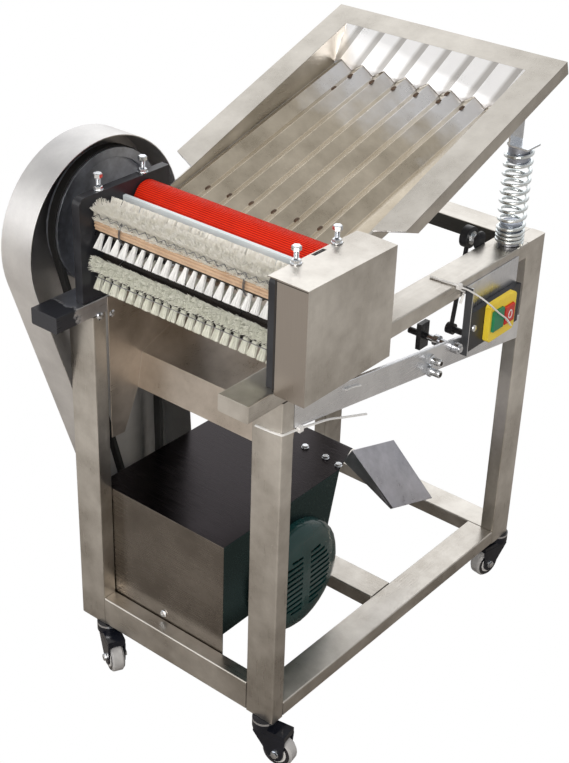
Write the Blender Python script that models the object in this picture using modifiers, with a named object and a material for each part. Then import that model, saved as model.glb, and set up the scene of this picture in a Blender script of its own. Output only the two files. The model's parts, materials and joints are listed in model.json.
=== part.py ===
import math

import bmesh
import bpy
from mathutils import Matrix, Vector

# Origin: centre of the whole machine on the floor.
# RIGHT, FRONT and BASE place the right face, front face and underside of the frame.
RIGHT = 0.1985
FRONT = -0.285
BASE = 0.075

GAP = 0.0003
OVERRUN = 0.004
HALF_SHARE = 0.5
TURN = 2.0 * math.pi

# Frame tubes
FRAME_WIDTH = 0.387
FRAME_DEPTH = 0.628
RAIL_TOP = 0.560
TUBE_WIDE = 0.050
TUBE_THIN = 0.025
TUBE_EDGE = 0.0025
TUBE_WALL = 0.0015
RAIL_NOSE = 0.066
CROSS_FRONT = 0.302
MIDDLE_LOW = 0.4873
MIDDLE_SLOPE_SHARE = 0.162
MIDDLE_TALL = 0.040
MIDDLE_THICK = 0.006
MIDDLE_EDGE = 0.0008
LEFT = -FRAME_WIDTH
RAIL_UNDER = RAIL_TOP - TUBE_THIN
REAR_POST_FRONT = FRAME_DEPTH - TUBE_WIDE

# Bearing plates and roller axes
PLATE_FRONT = -0.014
PLATE_REAR = 0.157
PLATE_TOP = 0.713
PLATE_ROUND = 0.012
LEFT_PLATE_INSET = 0.033
LEFT_PLATE_THICK = 0.014
LEFT_PLATE_LOW = LEFT + LEFT_PLATE_INSET
LEFT_PLATE_HIGH = LEFT_PLATE_LOW + LEFT_PLATE_THICK
RIGHT_PLATE_LOW = -0.017
RIGHT_PLATE_HIGH = -0.002
SHAFT_RADIUS = 0.009
BORE_RADIUS = SHAFT_RADIUS + GAP
RUBBER_Y = 0.108
RUBBER_Z = 0.681
NIP_Y = 0.108
NIP_Z = 0.630
UPPER_BRUSH_Y = 0.028
UPPER_BRUSH_Z = 0.671
LOWER_BRUSH_Y = 0.028
LOWER_BRUSH_Z = 0.605
ROLLER_CLEAR = 0.0015
ROLLER_LOW = LEFT_PLATE_HIGH + ROLLER_CLEAR
ROLLER_HIGH = RIGHT_PLATE_LOW - ROLLER_CLEAR
ROLLER_RADIUS = 0.025
ROLLER_EDGE = 0.0015
SHAFT_STUB = 0.010
SHAFT_LEFT_END = LEFT_PLATE_LOW - SHAFT_STUB
SHAFT_RIGHT_END = 0.016

# Brush rollers
BRUSH_CORE = 0.0135
BRUSH_BAR = 0.0175
BRUSH_REACH = 0.036
TUFTS = 21
TUFT_ROOT_SHARE = 0.36
TUFT_TIP_SHARE = 0.74
TUFT_TIP_HALF = 0.0042
ROW_HALF_DEG = 9.0
BAR_HALF_DEG = 22.0
UPPER_ROW_DEG = -125.0
LOWER_ROW_DEG = -95.0
ROW_STEP_DEG = 60.0
ROWS = 6
UPPER_BARE_ROWS = (1, 4)
LOWER_BARE_ROWS = (0, 3)

# Gears inside the cover
GEAR_MODULE = 0.003
GEAR_LOW = 0.004
GEAR_HIGH = 0.014
NIP_TEETH = 17
BRUSH_TEETH = 22
IDLER_TEETH = 10
TOOTH_ROOT_SHARE = 0.29
TOOTH_TIP_SHARE = 0.14
ADDENDUM_SHARE = 0.8
DEDENDUM_SHARE = 1.15
IDLER_SHAFT_RADIUS = 0.006

# Gear cover
SHEET = 0.0015
COVER_LIP_X = -0.014
COVER_LEFT_X = 0.0015
COVER_RIGHT_X = 0.048
COVER_FRONT_Y = -0.0195
COVER_REAR_Y = 0.155
COVER_RISE = 0.0019
COVER_LAP = 0.002
COVER_TOP_Z = PLATE_TOP + COVER_RISE
COVER_LOW_Z = RAIL_TOP - COVER_LAP
COVER_SLOT_X = -0.0095
COVER_SLOT_WIDE = 0.011
COVER_SLOT_LONG = 0.014
COVER_OBLONG_Y = 0.072
COVER_OBLONG_WIDE = 0.006
COVER_OBLONG_LONG = 0.024

# Scraper strip between the rubber roller and the upper brush
SCRAPER_FRONT = 0.066
SCRAPER_REAR = 0.072
SCRAPER_LOW = 0.668
SCRAPER_TOP = 0.696

# Drive
MOTOR_Y = 0.180
MOTOR_Z = 0.110
PULLEY_OUT = 0.045
PULLEY_WIDE = 0.022
PULLEY_LOW = LEFT - PULLEY_OUT
PULLEY_HIGH = PULLEY_LOW + PULLEY_WIDE
HEAD_RADIUS = 0.100
MOTOR_PULLEY_RADIUS = 0.035
GROOVE_DEPTH = 0.006
GROOVE_HALF = 0.007
PULLEY_HUB = 0.022
PULLEY_RIM = 0.014
PULLEY_WEB_HALF = 0.003
BELT_THICK = 0.007
BELT_HALF = 0.0065
GUARD_Y = 0.082
GUARD_Z = 0.616
GUARD_RADIUS = 0.143
GUARD_FOOT_RADIUS = 0.078
GUARD_WIDE = 0.0577
GUARD_INNER_X = LEFT - GAP
GUARD_OUTER_X = GUARD_INNER_X - GUARD_WIDE
MOTOR_BODY_RADIUS = 0.079
MOTOR_BODY_INSET = 0.087
MOTOR_BODY_LEFT = LEFT + MOTOR_BODY_INSET
MOTOR_BODY_RIGHT = -0.122
MOTOR_BELL_RADIUS = 0.060
MOTOR_BELL_LONG = 0.018
MOTOR_BELL_LEFT = MOTOR_BODY_LEFT - MOTOR_BELL_LONG
MOTOR_FOOT_INSET = 0.010
MOTOR_FOOT_LONG = 0.065
MOTOR_FOOT_LEFT = MOTOR_BODY_LEFT + MOTOR_FOOT_INSET
MOTOR_FOOT_RIGHT = MOTOR_FOOT_LEFT + MOTOR_FOOT_LONG
MOTOR_FOOT_HALF = 0.062
MOTOR_FOOT_TOP = 0.070
MOTOR_PLATE_INSET = 0.062
MOTOR_PLATE_LONG = 0.115
MOTOR_PLATE_LEFT = LEFT + MOTOR_PLATE_INSET
MOTOR_PLATE_RIGHT = MOTOR_PLATE_LEFT + MOTOR_PLATE_LONG
MOTOR_PLATE_THICK = 0.005
PULLEY_STUB = 0.004
SHAFT_DRIVE_END = PULLEY_LOW - PULLEY_STUB
COWL_RADIUS = 0.092
COWL_LEFT = -0.1166
COWL_BEND = -0.108
COWL_DOME = 0.022
COWL_WALL = 0.002
COWL_SLOT_HALF = 0.0022
COWL_SLOT_PITCH = 0.0095
COWL_SLOTS = 11
COWL_SLOT_REACH = 0.058
COWL_SLOT_INNER = 0.009
FAN_LEFT = -0.112
FAN_RIGHT = -0.100
FAN_RADIUS = 0.066
FAN_ROOT = 0.022
FAN_BLADES = 7
FAN_BLADE_SHARE = 0.22

# Motor cover and outlet hood
BOX_INSET = 0.026
BOX_LEFT = LEFT + BOX_INSET
BOX_RIGHT = -0.1177
BOX_FRONT = 0.0262
BOX_REAR = 0.353
BOX_CORNER_Y = 0.291
BOX_NOTCH_X = -0.139
BOX_NOTCH_Y = 0.348
BOX_TOP = 0.240
BOX_LOW = 0.040
BOX_CHEEK_LOW = 0.085
BOX_CHEEK_REAR = 0.266
BOX_CHEEK_REAR_Z = 0.140
BOX_FOLD = 0.046
CHEEK_NOTCH = 0.082
HOOD_NEAR_TOP = (-0.1372, 0.3485, 0.2395)
HOOD_FAR_TOP = (-0.1372, 0.462, 0.205)
HOOD_FAR_LOW = (-0.065, 0.480, 0.115)
HOOD_NEAR_LOW = (-0.065, 0.364, 0.155)
HOOD_FLANGE_LOW = (-0.157, 0.3555, 0.208)

# Pea chute under the rollers
CHUTE_CLEAR = 0.0012
CHUTE_LEFT = LEFT + TUBE_WIDE + CHUTE_CLEAR
CHUTE_RIGHT = -TUBE_WIDE - CHUTE_CLEAR
CHUTE_TOP = 0.558
CHUTE_LIP = (0.092, 0.446)
CHUTE_LIP_LOW = (0.082, 0.392)
CHUTE_REAR = (0.300, 0.520)
CHUTE_REAR_TOP = (0.300, 0.558)
CHUTE_FRONT_TOP = (0.027, 0.558)
CHUTE_LEFT_LOW = (0.027, 0.330)
CHUTE_LEFT_TOE = (0.052, 0.328)
CHUTE_RIGHT_LOW = (0.027, 0.470)

# Feed tray
TRAY_OVER = 0.0085
TRAY_ASIDE = 0.0002
TRAY_HALF = FRAME_WIDTH * HALF_SHARE + TRAY_OVER
TRAY_MIDDLE_X = LEFT * HALF_SHARE + TRAY_ASIDE
TRAY_REAR_BACK = 0.0195
TRAY_REAR_Y = FRAME_DEPTH - TRAY_REAR_BACK
TRAY_FRONT_Y = 0.2326325
TRAY_FRONT_Z = 0.694711
TRAY_PITCH = math.radians(20.2)
TRAY_FLANGE = 0.0414
TRAY_LIP = 0.020
TRAY_INNER_MORE = 0.0175
TRAY_LIP_LESS = 0.0225
TRAY_REAR_Z = TRAY_FRONT_Z + (TRAY_REAR_Y - TRAY_FRONT_Y) * math.tan(TRAY_PITCH)
TRAY_CREASE_RUN = (TRAY_REAR_Y - TRAY_FRONT_Y) / math.cos(TRAY_PITCH)
TRAY_INNER_RUN = TRAY_CREASE_RUN + TRAY_INNER_MORE
TRAY_LIP_RUN = TRAY_CREASE_RUN - TRAY_LIP_LESS
FLOOR_Y = 0.190
FLOOR_Z = 0.666
FLOOR_SLOPE_SHARE = 0.2817
FLOOR_FRONT = 0.165
FLOOR_BACK = 0.0595
FLOOR_LAP = 0.008
FLOOR_REAR = TRAY_REAR_Y - FLOOR_BACK
FLOOR_OVERLAP = FLOOR_REAR - FLOOR_LAP
FLOOR_STEP = 0.0024
CHANNEL_DEEP = 0.0065
CHANNELS = 7
CHANNEL_MARGIN = 0.0146
CHANNEL_SPARE = 0.0092
PEAK_REACH = TRAY_HALF - TRAY_FLANGE - CHANNEL_MARGIN
CHANNEL_PITCH = (PEAK_REACH * 2 - CHANNEL_SPARE) / CHANNELS
FIRST_PEAK = TRAY_MIDDLE_X - PEAK_REACH
TRAY_WALL_DROP = 0.009
TRAY_WALL_LIP = 0.012
FLOOR_INSET = 0.0027

# Springs and their brackets
SPRING_X = -0.022
SPRING_BACK = 0.022
SPRING_Y = REAR_POST_FRONT - SPRING_BACK
SPRING_FLOOR_Z = FLOOR_Z + (SPRING_Y - FLOOR_Y) * FLOOR_SLOPE_SHARE
SPRING_RADIUS = 0.0205
SPRING_WIRE = 0.0023
SPRING_TURNS = 10.5
SPRING_POINTS = 9
BRACKET_DROP = 0.0531
BRACKET_RISE = 0.0289
BRACKET_LOW = SPRING_FLOOR_Z - BRACKET_DROP
BRACKET_THICK = 0.003
BRACKET_TOP = SPRING_FLOOR_Z + BRACKET_RISE
BRACKET_HALF = 0.018
BRACKET_IN = -0.0309
BRACKET_OUT = 0.002

# Tie link and adjuster rod on the right side
LINK_X = -0.072
LINK_TOP_BACK = 0.055
LINK_TOP_Y = REAR_POST_FRONT - LINK_TOP_BACK
LINK_TOP_RISE = 0.006
LINK_TOP_Z = RAIL_TOP + LINK_TOP_RISE
LINK_LEAN = 0.025
LINK_LOW_RISE = 0.0093
LINK_LOW_Y = LINK_TOP_Y - LINK_LEAN
LINK_LOW_Z = MIDDLE_LOW + LINK_LOW_RISE - (LINK_LOW_Y - TUBE_THIN) * MIDDLE_SLOPE_SHARE
LINK_EYE = 0.017
LINK_EYE_HALF = 0.006
LINK_ROD = 0.0035
LINK_LOW_EYE = 0.009
LINK_PIN = 0.005
LINK_FLANGE = 0.014
LINK_FLANGE_THICK = 0.004
ADJUSTER_BACK = 0.184
ADJUSTER_RISE = 0.0285
ADJUSTER_Y = REAR_POST_FRONT - ADJUSTER_BACK
ADJUSTER_Z = MIDDLE_LOW + ADJUSTER_RISE - (ADJUSTER_Y - TUBE_THIN) * MIDDLE_SLOPE_SHARE
ADJUSTER_ROD = 0.005
ADJUSTER_NUT = 0.0085
ADJUSTER_NUT_LONG = 0.009
ADJUSTER_LEFT = -0.0796
ADJUSTER_RIGHT = 0.0125
ADJUSTER_NUTS = (0.0093, -0.0255)
ADJUSTER_PLATE = 0.011
ADJUSTER_PLATE_TALL = 0.021
ADJUSTER_PLATE_X = -0.052
ADJUSTER_PLATE_THICK = 0.008

# Switch
SWITCH_PLATE_THICK = 0.002
SWITCH_REACH = 0.1675
SWITCH_BACK_LONG = 0.1395
SWITCH_BACK_FRONT = REAR_POST_FRONT - SWITCH_REACH
SWITCH_BACK_REAR = SWITCH_BACK_FRONT + SWITCH_BACK_LONG
SWITCH_BACK_LOW = 0.438
SWITCH_BACK_TALL = 0.110
SWITCH_BACK_TOP = SWITCH_BACK_LOW + SWITCH_BACK_TALL
SWITCH_MARGIN = 0.0025
SWITCH_LONG = 0.1355
SWITCH_SILL = 0.006
SWITCH_TALL = 0.064
SWITCH_FRONT = SWITCH_BACK_FRONT + SWITCH_MARGIN
SWITCH_REAR = SWITCH_FRONT + SWITCH_LONG
SWITCH_LOW = SWITCH_BACK_LOW + SWITCH_SILL
SWITCH_TOP = SWITCH_LOW + SWITCH_TALL
SWITCH_DEPTH = 0.0125
SWITCH_EDGE = 0.001
FACE_ALONG = 0.0365
FACE_LONG = 0.071
FACE_SILL = 0.0035
FACE_TALL = 0.0615
FACE_FRONT = SWITCH_FRONT + FACE_ALONG
FACE_REAR = FACE_FRONT + FACE_LONG
FACE_LOW = SWITCH_LOW + FACE_SILL
FACE_TOP = FACE_LOW + FACE_TALL
FACE_CUT = 0.004
FACE_THICK = 0.0095
START_ALONG = 0.020
START_RISE = 0.033
STOP_ALONG = 0.0505
STOP_RISE = 0.0315
BUTTON_START = (FACE_FRONT + START_ALONG, FACE_LOW + START_RISE)
BUTTON_START_HALF = (0.0145, 0.0165)
BUTTON_STOP = (FACE_FRONT + STOP_ALONG, FACE_LOW + STOP_RISE)
BUTTON_STOP_HALF = (0.013, 0.0145)
BUTTON_IN = 0.0155
BUTTON_OUT = 0.0265
BUTTON_EDGE = 0.0015

# Casters
WHEEL_RADIUS = 0.025
WHEEL_HALF = 0.010
WHEEL_EDGE = 0.003
WHEEL_DROP = 0.050
TRAIL = 0.027
AXLE_RADIUS = 0.004
FORK_INNER = 0.0115
FORK_WALL = 0.0025
FORK_TOP = 0.0225
FORK_HALF = 0.015
FORK_NECK = 0.011
HOUSING_RADIUS = 0.018
HOUSING_LOW = 0.016
FORK_TOE = 0.0125
FORK_TOE_FROM_DEG = -145.0
FORK_TOE_SWEEP_DEG = 145.0
FORK_TOE_STEPS = 9
FRONT_LEFT_INSET = 0.046
FRONT_LEFT_BACK = 0.0115
FRONT_LEFT_SWIVEL = (LEFT + FRONT_LEFT_INSET, FRONT_LEFT_BACK)
FRONT_LEFT_DEG = -28.0
FRONT_RIGHT_SWIVEL = (-0.0205, 0.008)
FRONT_RIGHT_DEG = 9.0
REAR_LEFT_INSET = 0.020
REAR_LEFT_BACK = 0.018
REAR_LEFT_SWIVEL = (LEFT + REAR_LEFT_INSET, FRAME_DEPTH - REAR_LEFT_BACK)
REAR_LEFT_DEG = 180.0
REAR_RIGHT_INSET = 0.013
REAR_RIGHT_BACK = 0.010
REAR_RIGHT_SWIVEL = (-REAR_RIGHT_INSET, FRAME_DEPTH - REAR_RIGHT_BACK)
REAR_RIGHT_DEG = -100.0

# Segment counts
ROUND = 32
FINE = 36
SMALL = 16

# Colours as red, green and blue shares
STEEL_SHARES = (0.62, 0.60, 0.57)
DARK_STEEL_SHARES = (0.30, 0.30, 0.31)
BLACK_SHARES = (0.02, 0.02, 0.022)
RED_SHARES = (0.75, 0.03, 0.015)
CREAM_SHARES = (0.82, 0.80, 0.70)
TEAL_SHARES = (0.01, 0.09, 0.085)
PALE_SHARES = (0.62, 0.72, 0.78)
YELLOW_SHARES = (0.80, 0.55, 0.02)
GREEN_SHARES = (0.02, 0.42, 0.12)
WHITE_SHARES = (0.78, 0.78, 0.76)
RUBBER_SHARES = (0.03, 0.03, 0.03)
ZINC_SHARES = (0.70, 0.72, 0.74)

for old in list(bpy.data.objects):
    bpy.data.objects.remove(old, do_unlink=True)

PARTS = bpy.data.collections.new("pea_sheller_machine")
bpy.context.scene.collection.children.link(PARTS)
CUTTERS = bpy.data.collections.new("cutters")
bpy.context.scene.collection.children.link(CUTTERS)
CUTTERS.hide_render = True
SHIFT = Vector((RIGHT, FRONT, BASE))


def paint(obj, shares, rough_share, metal_share):
    """Give a piece its own plain material."""
    mat = bpy.data.materials.new(obj.name)
    mat.use_nodes = True
    shader = mat.node_tree.nodes["Principled BSDF"]
    shader.inputs["Base Color"].default_value = (*shares, 1.0)
    shader.inputs["Roughness"].default_value = rough_share
    shader.inputs["Metallic"].default_value = metal_share
    mat.diffuse_color = (*shares, 1.0)
    obj.data.materials.append(mat)


def steel(obj):
    """Brushed stainless steel."""
    paint(obj, STEEL_SHARES, 0.35, 1.0)


def black(obj):
    """Black painted metal or plastic."""
    paint(obj, BLACK_SHARES, 0.4, 0.0)


def place(obj, helper=False):
    """Put a piece or a helper in its collection, moved to the machine's origin."""
    obj.matrix_world = Matrix.Translation(SHIFT) @ obj.matrix_world
    target = CUTTERS if helper else PARTS
    target.objects.link(obj)
    if helper:
        obj.display_type = "WIRE"
        obj.hide_render = True
    return obj


def from_bmesh(name, bm, origin, helper=False, orient=True):
    """Turn a built mesh into an object whose origin is the given point."""
    mesh = bpy.data.meshes.new(name)
    bmesh.ops.translate(bm, verts=bm.verts, vec=-Vector(origin))
    if orient:
        bmesh.ops.recalc_face_normals(bm, faces=bm.faces)
    bm.to_mesh(mesh)
    bm.free()
    obj = bpy.data.objects.new(name, mesh)
    obj.matrix_world = Matrix.Translation(Vector(origin))
    return place(obj, helper)


def add_bevel(obj, width, segments=2):
    """Round the sharp edges of a piece."""
    mod = obj.modifiers.new("edges", "BEVEL")
    mod.width = width
    mod.segments = segments
    mod.limit_method = "ANGLE"


def box(name, low, high, edge=0.0, helper=False, segments=1):
    """Block between two corners."""
    low = Vector(low)
    high = Vector(high)
    bm = bmesh.new()
    bmesh.ops.create_cube(bm, size=1)
    bmesh.ops.scale(bm, vec=high - low, verts=bm.verts)
    middle = (low + high) * HALF_SHARE
    bmesh.ops.translate(bm, vec=middle, verts=bm.verts)
    obj = from_bmesh(name, bm, middle, helper)
    if edge > 0.0:
        add_bevel(obj, edge, segments)
    return obj


def prism(name, outline, axis, low, high, origin=None, helper=False):
    """Flat outline given in the two other axes, drawn out along one axis."""
    bm = bmesh.new()
    verts = []
    for pair in outline:
        point = list(pair)
        point.insert(axis, low)
        verts.append(bm.verts.new(point))
    face = bm.faces.new(verts)
    grown = bmesh.ops.extrude_face_region(bm, geom=[face])
    moved = [item for item in grown["geom"] if isinstance(item, bmesh.types.BMVert)]
    step = Vector((0.0, 0.0, 0.0))
    step[axis] = high - low
    bmesh.ops.translate(bm, verts=moved, vec=step)
    if origin is None:
        origin = sum((v.co for v in bm.verts), Vector()) / len(bm.verts)
    return from_bmesh(name, bm, origin, helper)


def plate_x(name, loops, low, high, centre, helper=False):
    """Flat plate across X with holes; loops are (Y, Z) outlines, the first the outside."""
    curve = bpy.data.curves.new(name, "CURVE")
    curve.dimensions = "2D"
    curve.fill_mode = "BOTH"
    curve.extrude = (high - low) * HALF_SHARE
    for loop in loops:
        spline = curve.splines.new("POLY")
        spline.points.add(len(loop) - 1)
        for point, (y, z) in zip(spline.points, loop):
            point.co = (y - centre[0], z - centre[1], 0.0, 1.0)
        spline.use_cyclic_u = True
    source = bpy.data.objects.new(name, curve)
    bpy.context.scene.collection.objects.link(source)
    graph = bpy.context.evaluated_depsgraph_get()
    mesh = bpy.data.meshes.new_from_object(source.evaluated_get(graph))
    bpy.data.objects.remove(source, do_unlink=True)
    bm = bmesh.new()
    bm.from_mesh(mesh)
    bmesh.ops.remove_doubles(bm, verts=bm.verts, dist=GAP / 30)
    bmesh.ops.recalc_face_normals(bm, faces=bm.faces)
    bm.to_mesh(mesh)
    bm.free()
    obj = bpy.data.objects.new(name, mesh)
    middle = (low + high) * HALF_SHARE
    obj.matrix_world = Matrix((
        (0.0, 0.0, 1.0, middle),
        (1.0, 0.0, 0.0, centre[0]),
        (0.0, 1.0, 0.0, centre[1]),
        (0.0, 0.0, 0.0, 1.0),
    ))
    return place(obj, helper)


def ring(y, z, radius, count):
    """Circle of points in the (Y, Z) plane."""
    points = []
    for index in range(count):
        angle = TURN * index / count
        points.append((y + radius * math.cos(angle), z + radius * math.sin(angle)))
    return points


def turned(name, profile, centre, along, closed=False, count=ROUND, helper=False):
    """Turned piece: the profile is (radius, height) from top to bottom down the outer side."""
    mesh = bpy.data.meshes.new(name)
    verts = [(radius, 0.0, height) for radius, height in profile]
    edges = [(index, index + 1) for index in range(len(verts) - 1)]
    if closed:
        edges.append((len(verts) - 1, 0))
    mesh.from_pydata(verts, edges, [])
    obj = bpy.data.objects.new(name, mesh)
    turn = Matrix.Identity(4)
    if along == "X":
        turn = Matrix.Rotation(TURN / 4, 4, "Y")
    if along == "Y":
        turn = Matrix.Rotation(-TURN / 4, 4, "X")
    obj.matrix_world = Matrix.Translation(Vector(centre)) @ turn
    mod = obj.modifiers.new("turn", "SCREW")
    mod.axis = "Z"
    mod.angle = TURN
    mod.steps = count
    mod.render_steps = count
    mod.use_merge_vertices = True
    mod.merge_threshold = 0.00005
    mod.use_smooth_shade = True
    return place(obj, helper)


def sheet(name, verts, faces, origin, thick=SHEET):
    """Bent sheet metal: an open surface given its thickness about its middle."""
    bm = bmesh.new()
    made = [bm.verts.new(v) for v in verts]
    for face in faces:
        bm.faces.new([made[index] for index in face])
    obj = from_bmesh(name, bm, origin)
    mod = obj.modifiers.new("thickness", "SOLIDIFY")
    mod.thickness = thick
    mod.offset = 0.0
    mod.use_even_offset = True
    return obj


def tube_path(name, points, radius, resolution, helper=False):
    """Round wire along a path."""
    curve = bpy.data.curves.new(name, "CURVE")
    curve.dimensions = "3D"
    curve.bevel_depth = radius
    curve.bevel_resolution = resolution
    curve.use_fill_caps = True
    spline = curve.splines.new("POLY")
    spline.points.add(len(points) - 1)
    origin = Vector(points[0])
    for point, co in zip(spline.points, points):
        point.co = (*(Vector(co) - origin), 1.0)
    obj = bpy.data.objects.new(name, curve)
    obj.matrix_world = Matrix.Translation(origin)
    return place(obj, helper)


def combine(obj, helpers, how="UNION"):
    """Join or cut a piece with helper solids."""
    for helper in helpers:
        mod = obj.modifiers.new(helper.name, "BOOLEAN")
        mod.operation = how
        mod.solver = "EXACT"
        mod.object = helper
    return obj


def tube_loop(low, high, inset):
    """Corner points of a rounded rectangle, drawn in by an inset."""
    radius = TUBE_EDGE - inset
    points = []
    for index, (across, up) in enumerate(((1, 1), (0, 1), (0, 0), (1, 0))):
        middle_across = high[0] - TUBE_EDGE if across else low[0] + TUBE_EDGE
        middle_up = high[1] - TUBE_EDGE if up else low[1] + TUBE_EDGE
        for step in range(3):
            angle = TURN / 4 * (index + step * HALF_SHARE)
            points.append((middle_across + radius * math.cos(angle), middle_up + radius * math.sin(angle)))
    return points


def tube(name, low, high, axis, closed=""):
    """Rectangular steel tube along one axis; the closed end, low or high, has a wall."""
    across = [index for index in range(3) if index != axis]
    flat_low = [low[index] for index in across]
    flat_high = [high[index] for index in across]
    bm = bmesh.new()
    loops = {}
    for skin, inset in (("outer", 0.0), ("inner", TUBE_WALL)):
        for end, level, way in (("low", low[axis], 1), ("high", high[axis], -1)):
            if end == closed:
                level += inset * way
            made = []
            for pair in tube_loop(flat_low, flat_high, inset):
                point = list(pair)
                point.insert(axis, level)
                made.append(bm.verts.new(point))
            loops[skin, end] = made
    joined = [(("outer", "low"), ("outer", "high")), (("inner", "low"), ("inner", "high"))]
    for end in ("low", "high"):
        if end == closed:
            bm.faces.new(loops["outer", end])
            bm.faces.new(loops["inner", end])
        else:
            joined.append((("outer", end), ("inner", end)))
    for first, second in joined:
        one, two = loops[first], loops[second]
        for index in range(len(one)):
            after = (index + 1) % len(one)
            bm.faces.new((one[index], one[after], two[after], two[index]))
    middle = (Vector(low) + Vector(high)) * HALF_SHARE
    steel(from_bmesh(name, bm, middle))


def build_posts():
    """Four upright tubes; the front pair end under the top rails, the rear pair are closed on top."""
    front_top = RAIL_UNDER - GAP
    sides = (("left", LEFT, LEFT + TUBE_WIDE), ("right", -TUBE_WIDE, 0.0))
    for side, low, high in sides:
        tube(f"front_{side}_post", (low, 0.0, 0.0), (high, TUBE_THIN, front_top), 2, "low")
    sides = (("left", LEFT, LEFT + TUBE_THIN), ("right", -TUBE_THIN, 0.0))
    for side, low, high in sides:
        tube(f"rear_{side}_post", (low, REAR_POST_FRONT, 0.0), (high, FRAME_DEPTH, RAIL_TOP), 2, "high")


def build_bottom_rails():
    """Rails round the foot and the cross rail that carries the motor."""
    inner_left = LEFT + TUBE_WIDE + GAP
    inner_right = -TUBE_WIDE - GAP
    side_front = TUBE_THIN + GAP
    side_rear = REAR_POST_FRONT - GAP
    rear_left = LEFT + TUBE_THIN + GAP
    rear_right = -TUBE_THIN - GAP
    tubes = (
        ("bottom_front_rail", (inner_left, 0.0, 0.0), (inner_right, TUBE_THIN, TUBE_WIDE), 0),
        ("bottom_left_rail", (LEFT, side_front, 0.0), (LEFT + TUBE_WIDE, side_rear, TUBE_THIN), 1),
        ("bottom_right_rail", (-TUBE_WIDE, side_front, 0.0), (0.0, side_rear, TUBE_THIN), 1),
        ("bottom_rear_rail", (rear_left, REAR_POST_FRONT, 0.0), (rear_right, FRAME_DEPTH, TUBE_THIN), 0),
        ("motor_cross_rail", (inner_left, CROSS_FRONT, 0.0), (inner_right, CROSS_FRONT + TUBE_WIDE, TUBE_THIN), 0),
        ("rear_top_rail", (rear_left, REAR_POST_FRONT, RAIL_UNDER), (rear_right, FRAME_DEPTH, RAIL_TOP), 0),
    )
    for name, low, high, axis in tubes:
        tube(name, low, high, axis)


def build_top_rails():
    """Top side rails, closed in front, that stick out past the front posts, and the sloping middle bar."""
    rear = REAR_POST_FRONT - GAP
    for name, low, high in (("left_top_rail", LEFT, LEFT + TUBE_WIDE), ("right_top_rail", -TUBE_WIDE, 0.0)):
        tube(name, (low, -RAIL_NOSE, RAIL_UNDER), (high, rear, RAIL_TOP), 1, "low")
    front = TUBE_THIN + GAP
    tall = MIDDLE_TALL * math.hypot(1.0, MIDDLE_SLOPE_SHARE)
    drop = (rear - front) * MIDDLE_SLOPE_SHARE
    outline = (
        (front, MIDDLE_LOW),
        (rear, MIDDLE_LOW - drop),
        (rear, MIDDLE_LOW - drop + tall),
        (front, MIDDLE_LOW + tall),
    )
    rail = prism("right_middle_rail", outline, 0, -MIDDLE_THICK, 0.0)
    add_bevel(rail, MIDDLE_EDGE, 1)
    low = -MIDDLE_THICK - OVERRUN
    hole = rod_helper("rail_rod_hole", low, OVERRUN, ADJUSTER_ROD + GAP, ADJUSTER_Y, ADJUSTER_Z)
    combine(rail, [hole], "DIFFERENCE")
    steel(rail)


def plate_outline():
    """Bearing plate outline with a rounded front top corner."""
    low = RAIL_TOP + GAP
    points = [(PLATE_FRONT, low), (PLATE_REAR, low), (PLATE_REAR, PLATE_TOP)]
    for step in range(5):
        angle = TURN / 4 * (1 + step / 4)
        y = PLATE_FRONT + PLATE_ROUND + PLATE_ROUND * math.cos(angle)
        z = PLATE_TOP - PLATE_ROUND + PLATE_ROUND * math.sin(angle)
        points.append((y, z))
    return points


def idler_axis():
    """Idler axis that meshes with the nip gear and the lower brush gear."""
    pitch = GEAR_MODULE * HALF_SHARE
    reach_nip = pitch * (NIP_TEETH + IDLER_TEETH)
    reach_brush = pitch * (BRUSH_TEETH + IDLER_TEETH)
    dy = LOWER_BRUSH_Y - NIP_Y
    dz = LOWER_BRUSH_Z - NIP_Z
    span = math.hypot(dy, dz)
    along = (reach_nip**2 - reach_brush**2 + span**2) / (2 * span)
    across = math.sqrt(reach_nip**2 - along**2)
    y = NIP_Y + (dy * along + dz * across) / span
    z = NIP_Z + (dz * along - dy * across) / span
    return y, z


def build_bearing_plates():
    """Two upright plates that carry the four rollers."""
    axes = (
        (RUBBER_Y, RUBBER_Z),
        (NIP_Y, NIP_Z),
        (UPPER_BRUSH_Y, UPPER_BRUSH_Z),
        (LOWER_BRUSH_Y, LOWER_BRUSH_Z),
    )
    holes = [ring(y, z, BORE_RADIUS, SMALL) for y, z in axes]
    centre = (PLATE_FRONT, RAIL_TOP)
    left = [plate_outline()] + holes
    black(plate_x("left_bearing_plate", left, LEFT_PLATE_LOW, LEFT_PLATE_HIGH, centre))
    idler = idler_axis()
    right = left + [ring(idler[0], idler[1], IDLER_SHAFT_RADIUS + GAP, SMALL)]
    black(plate_x("right_bearing_plate", right, RIGHT_PLATE_LOW, RIGHT_PLATE_HIGH, centre))


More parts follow.
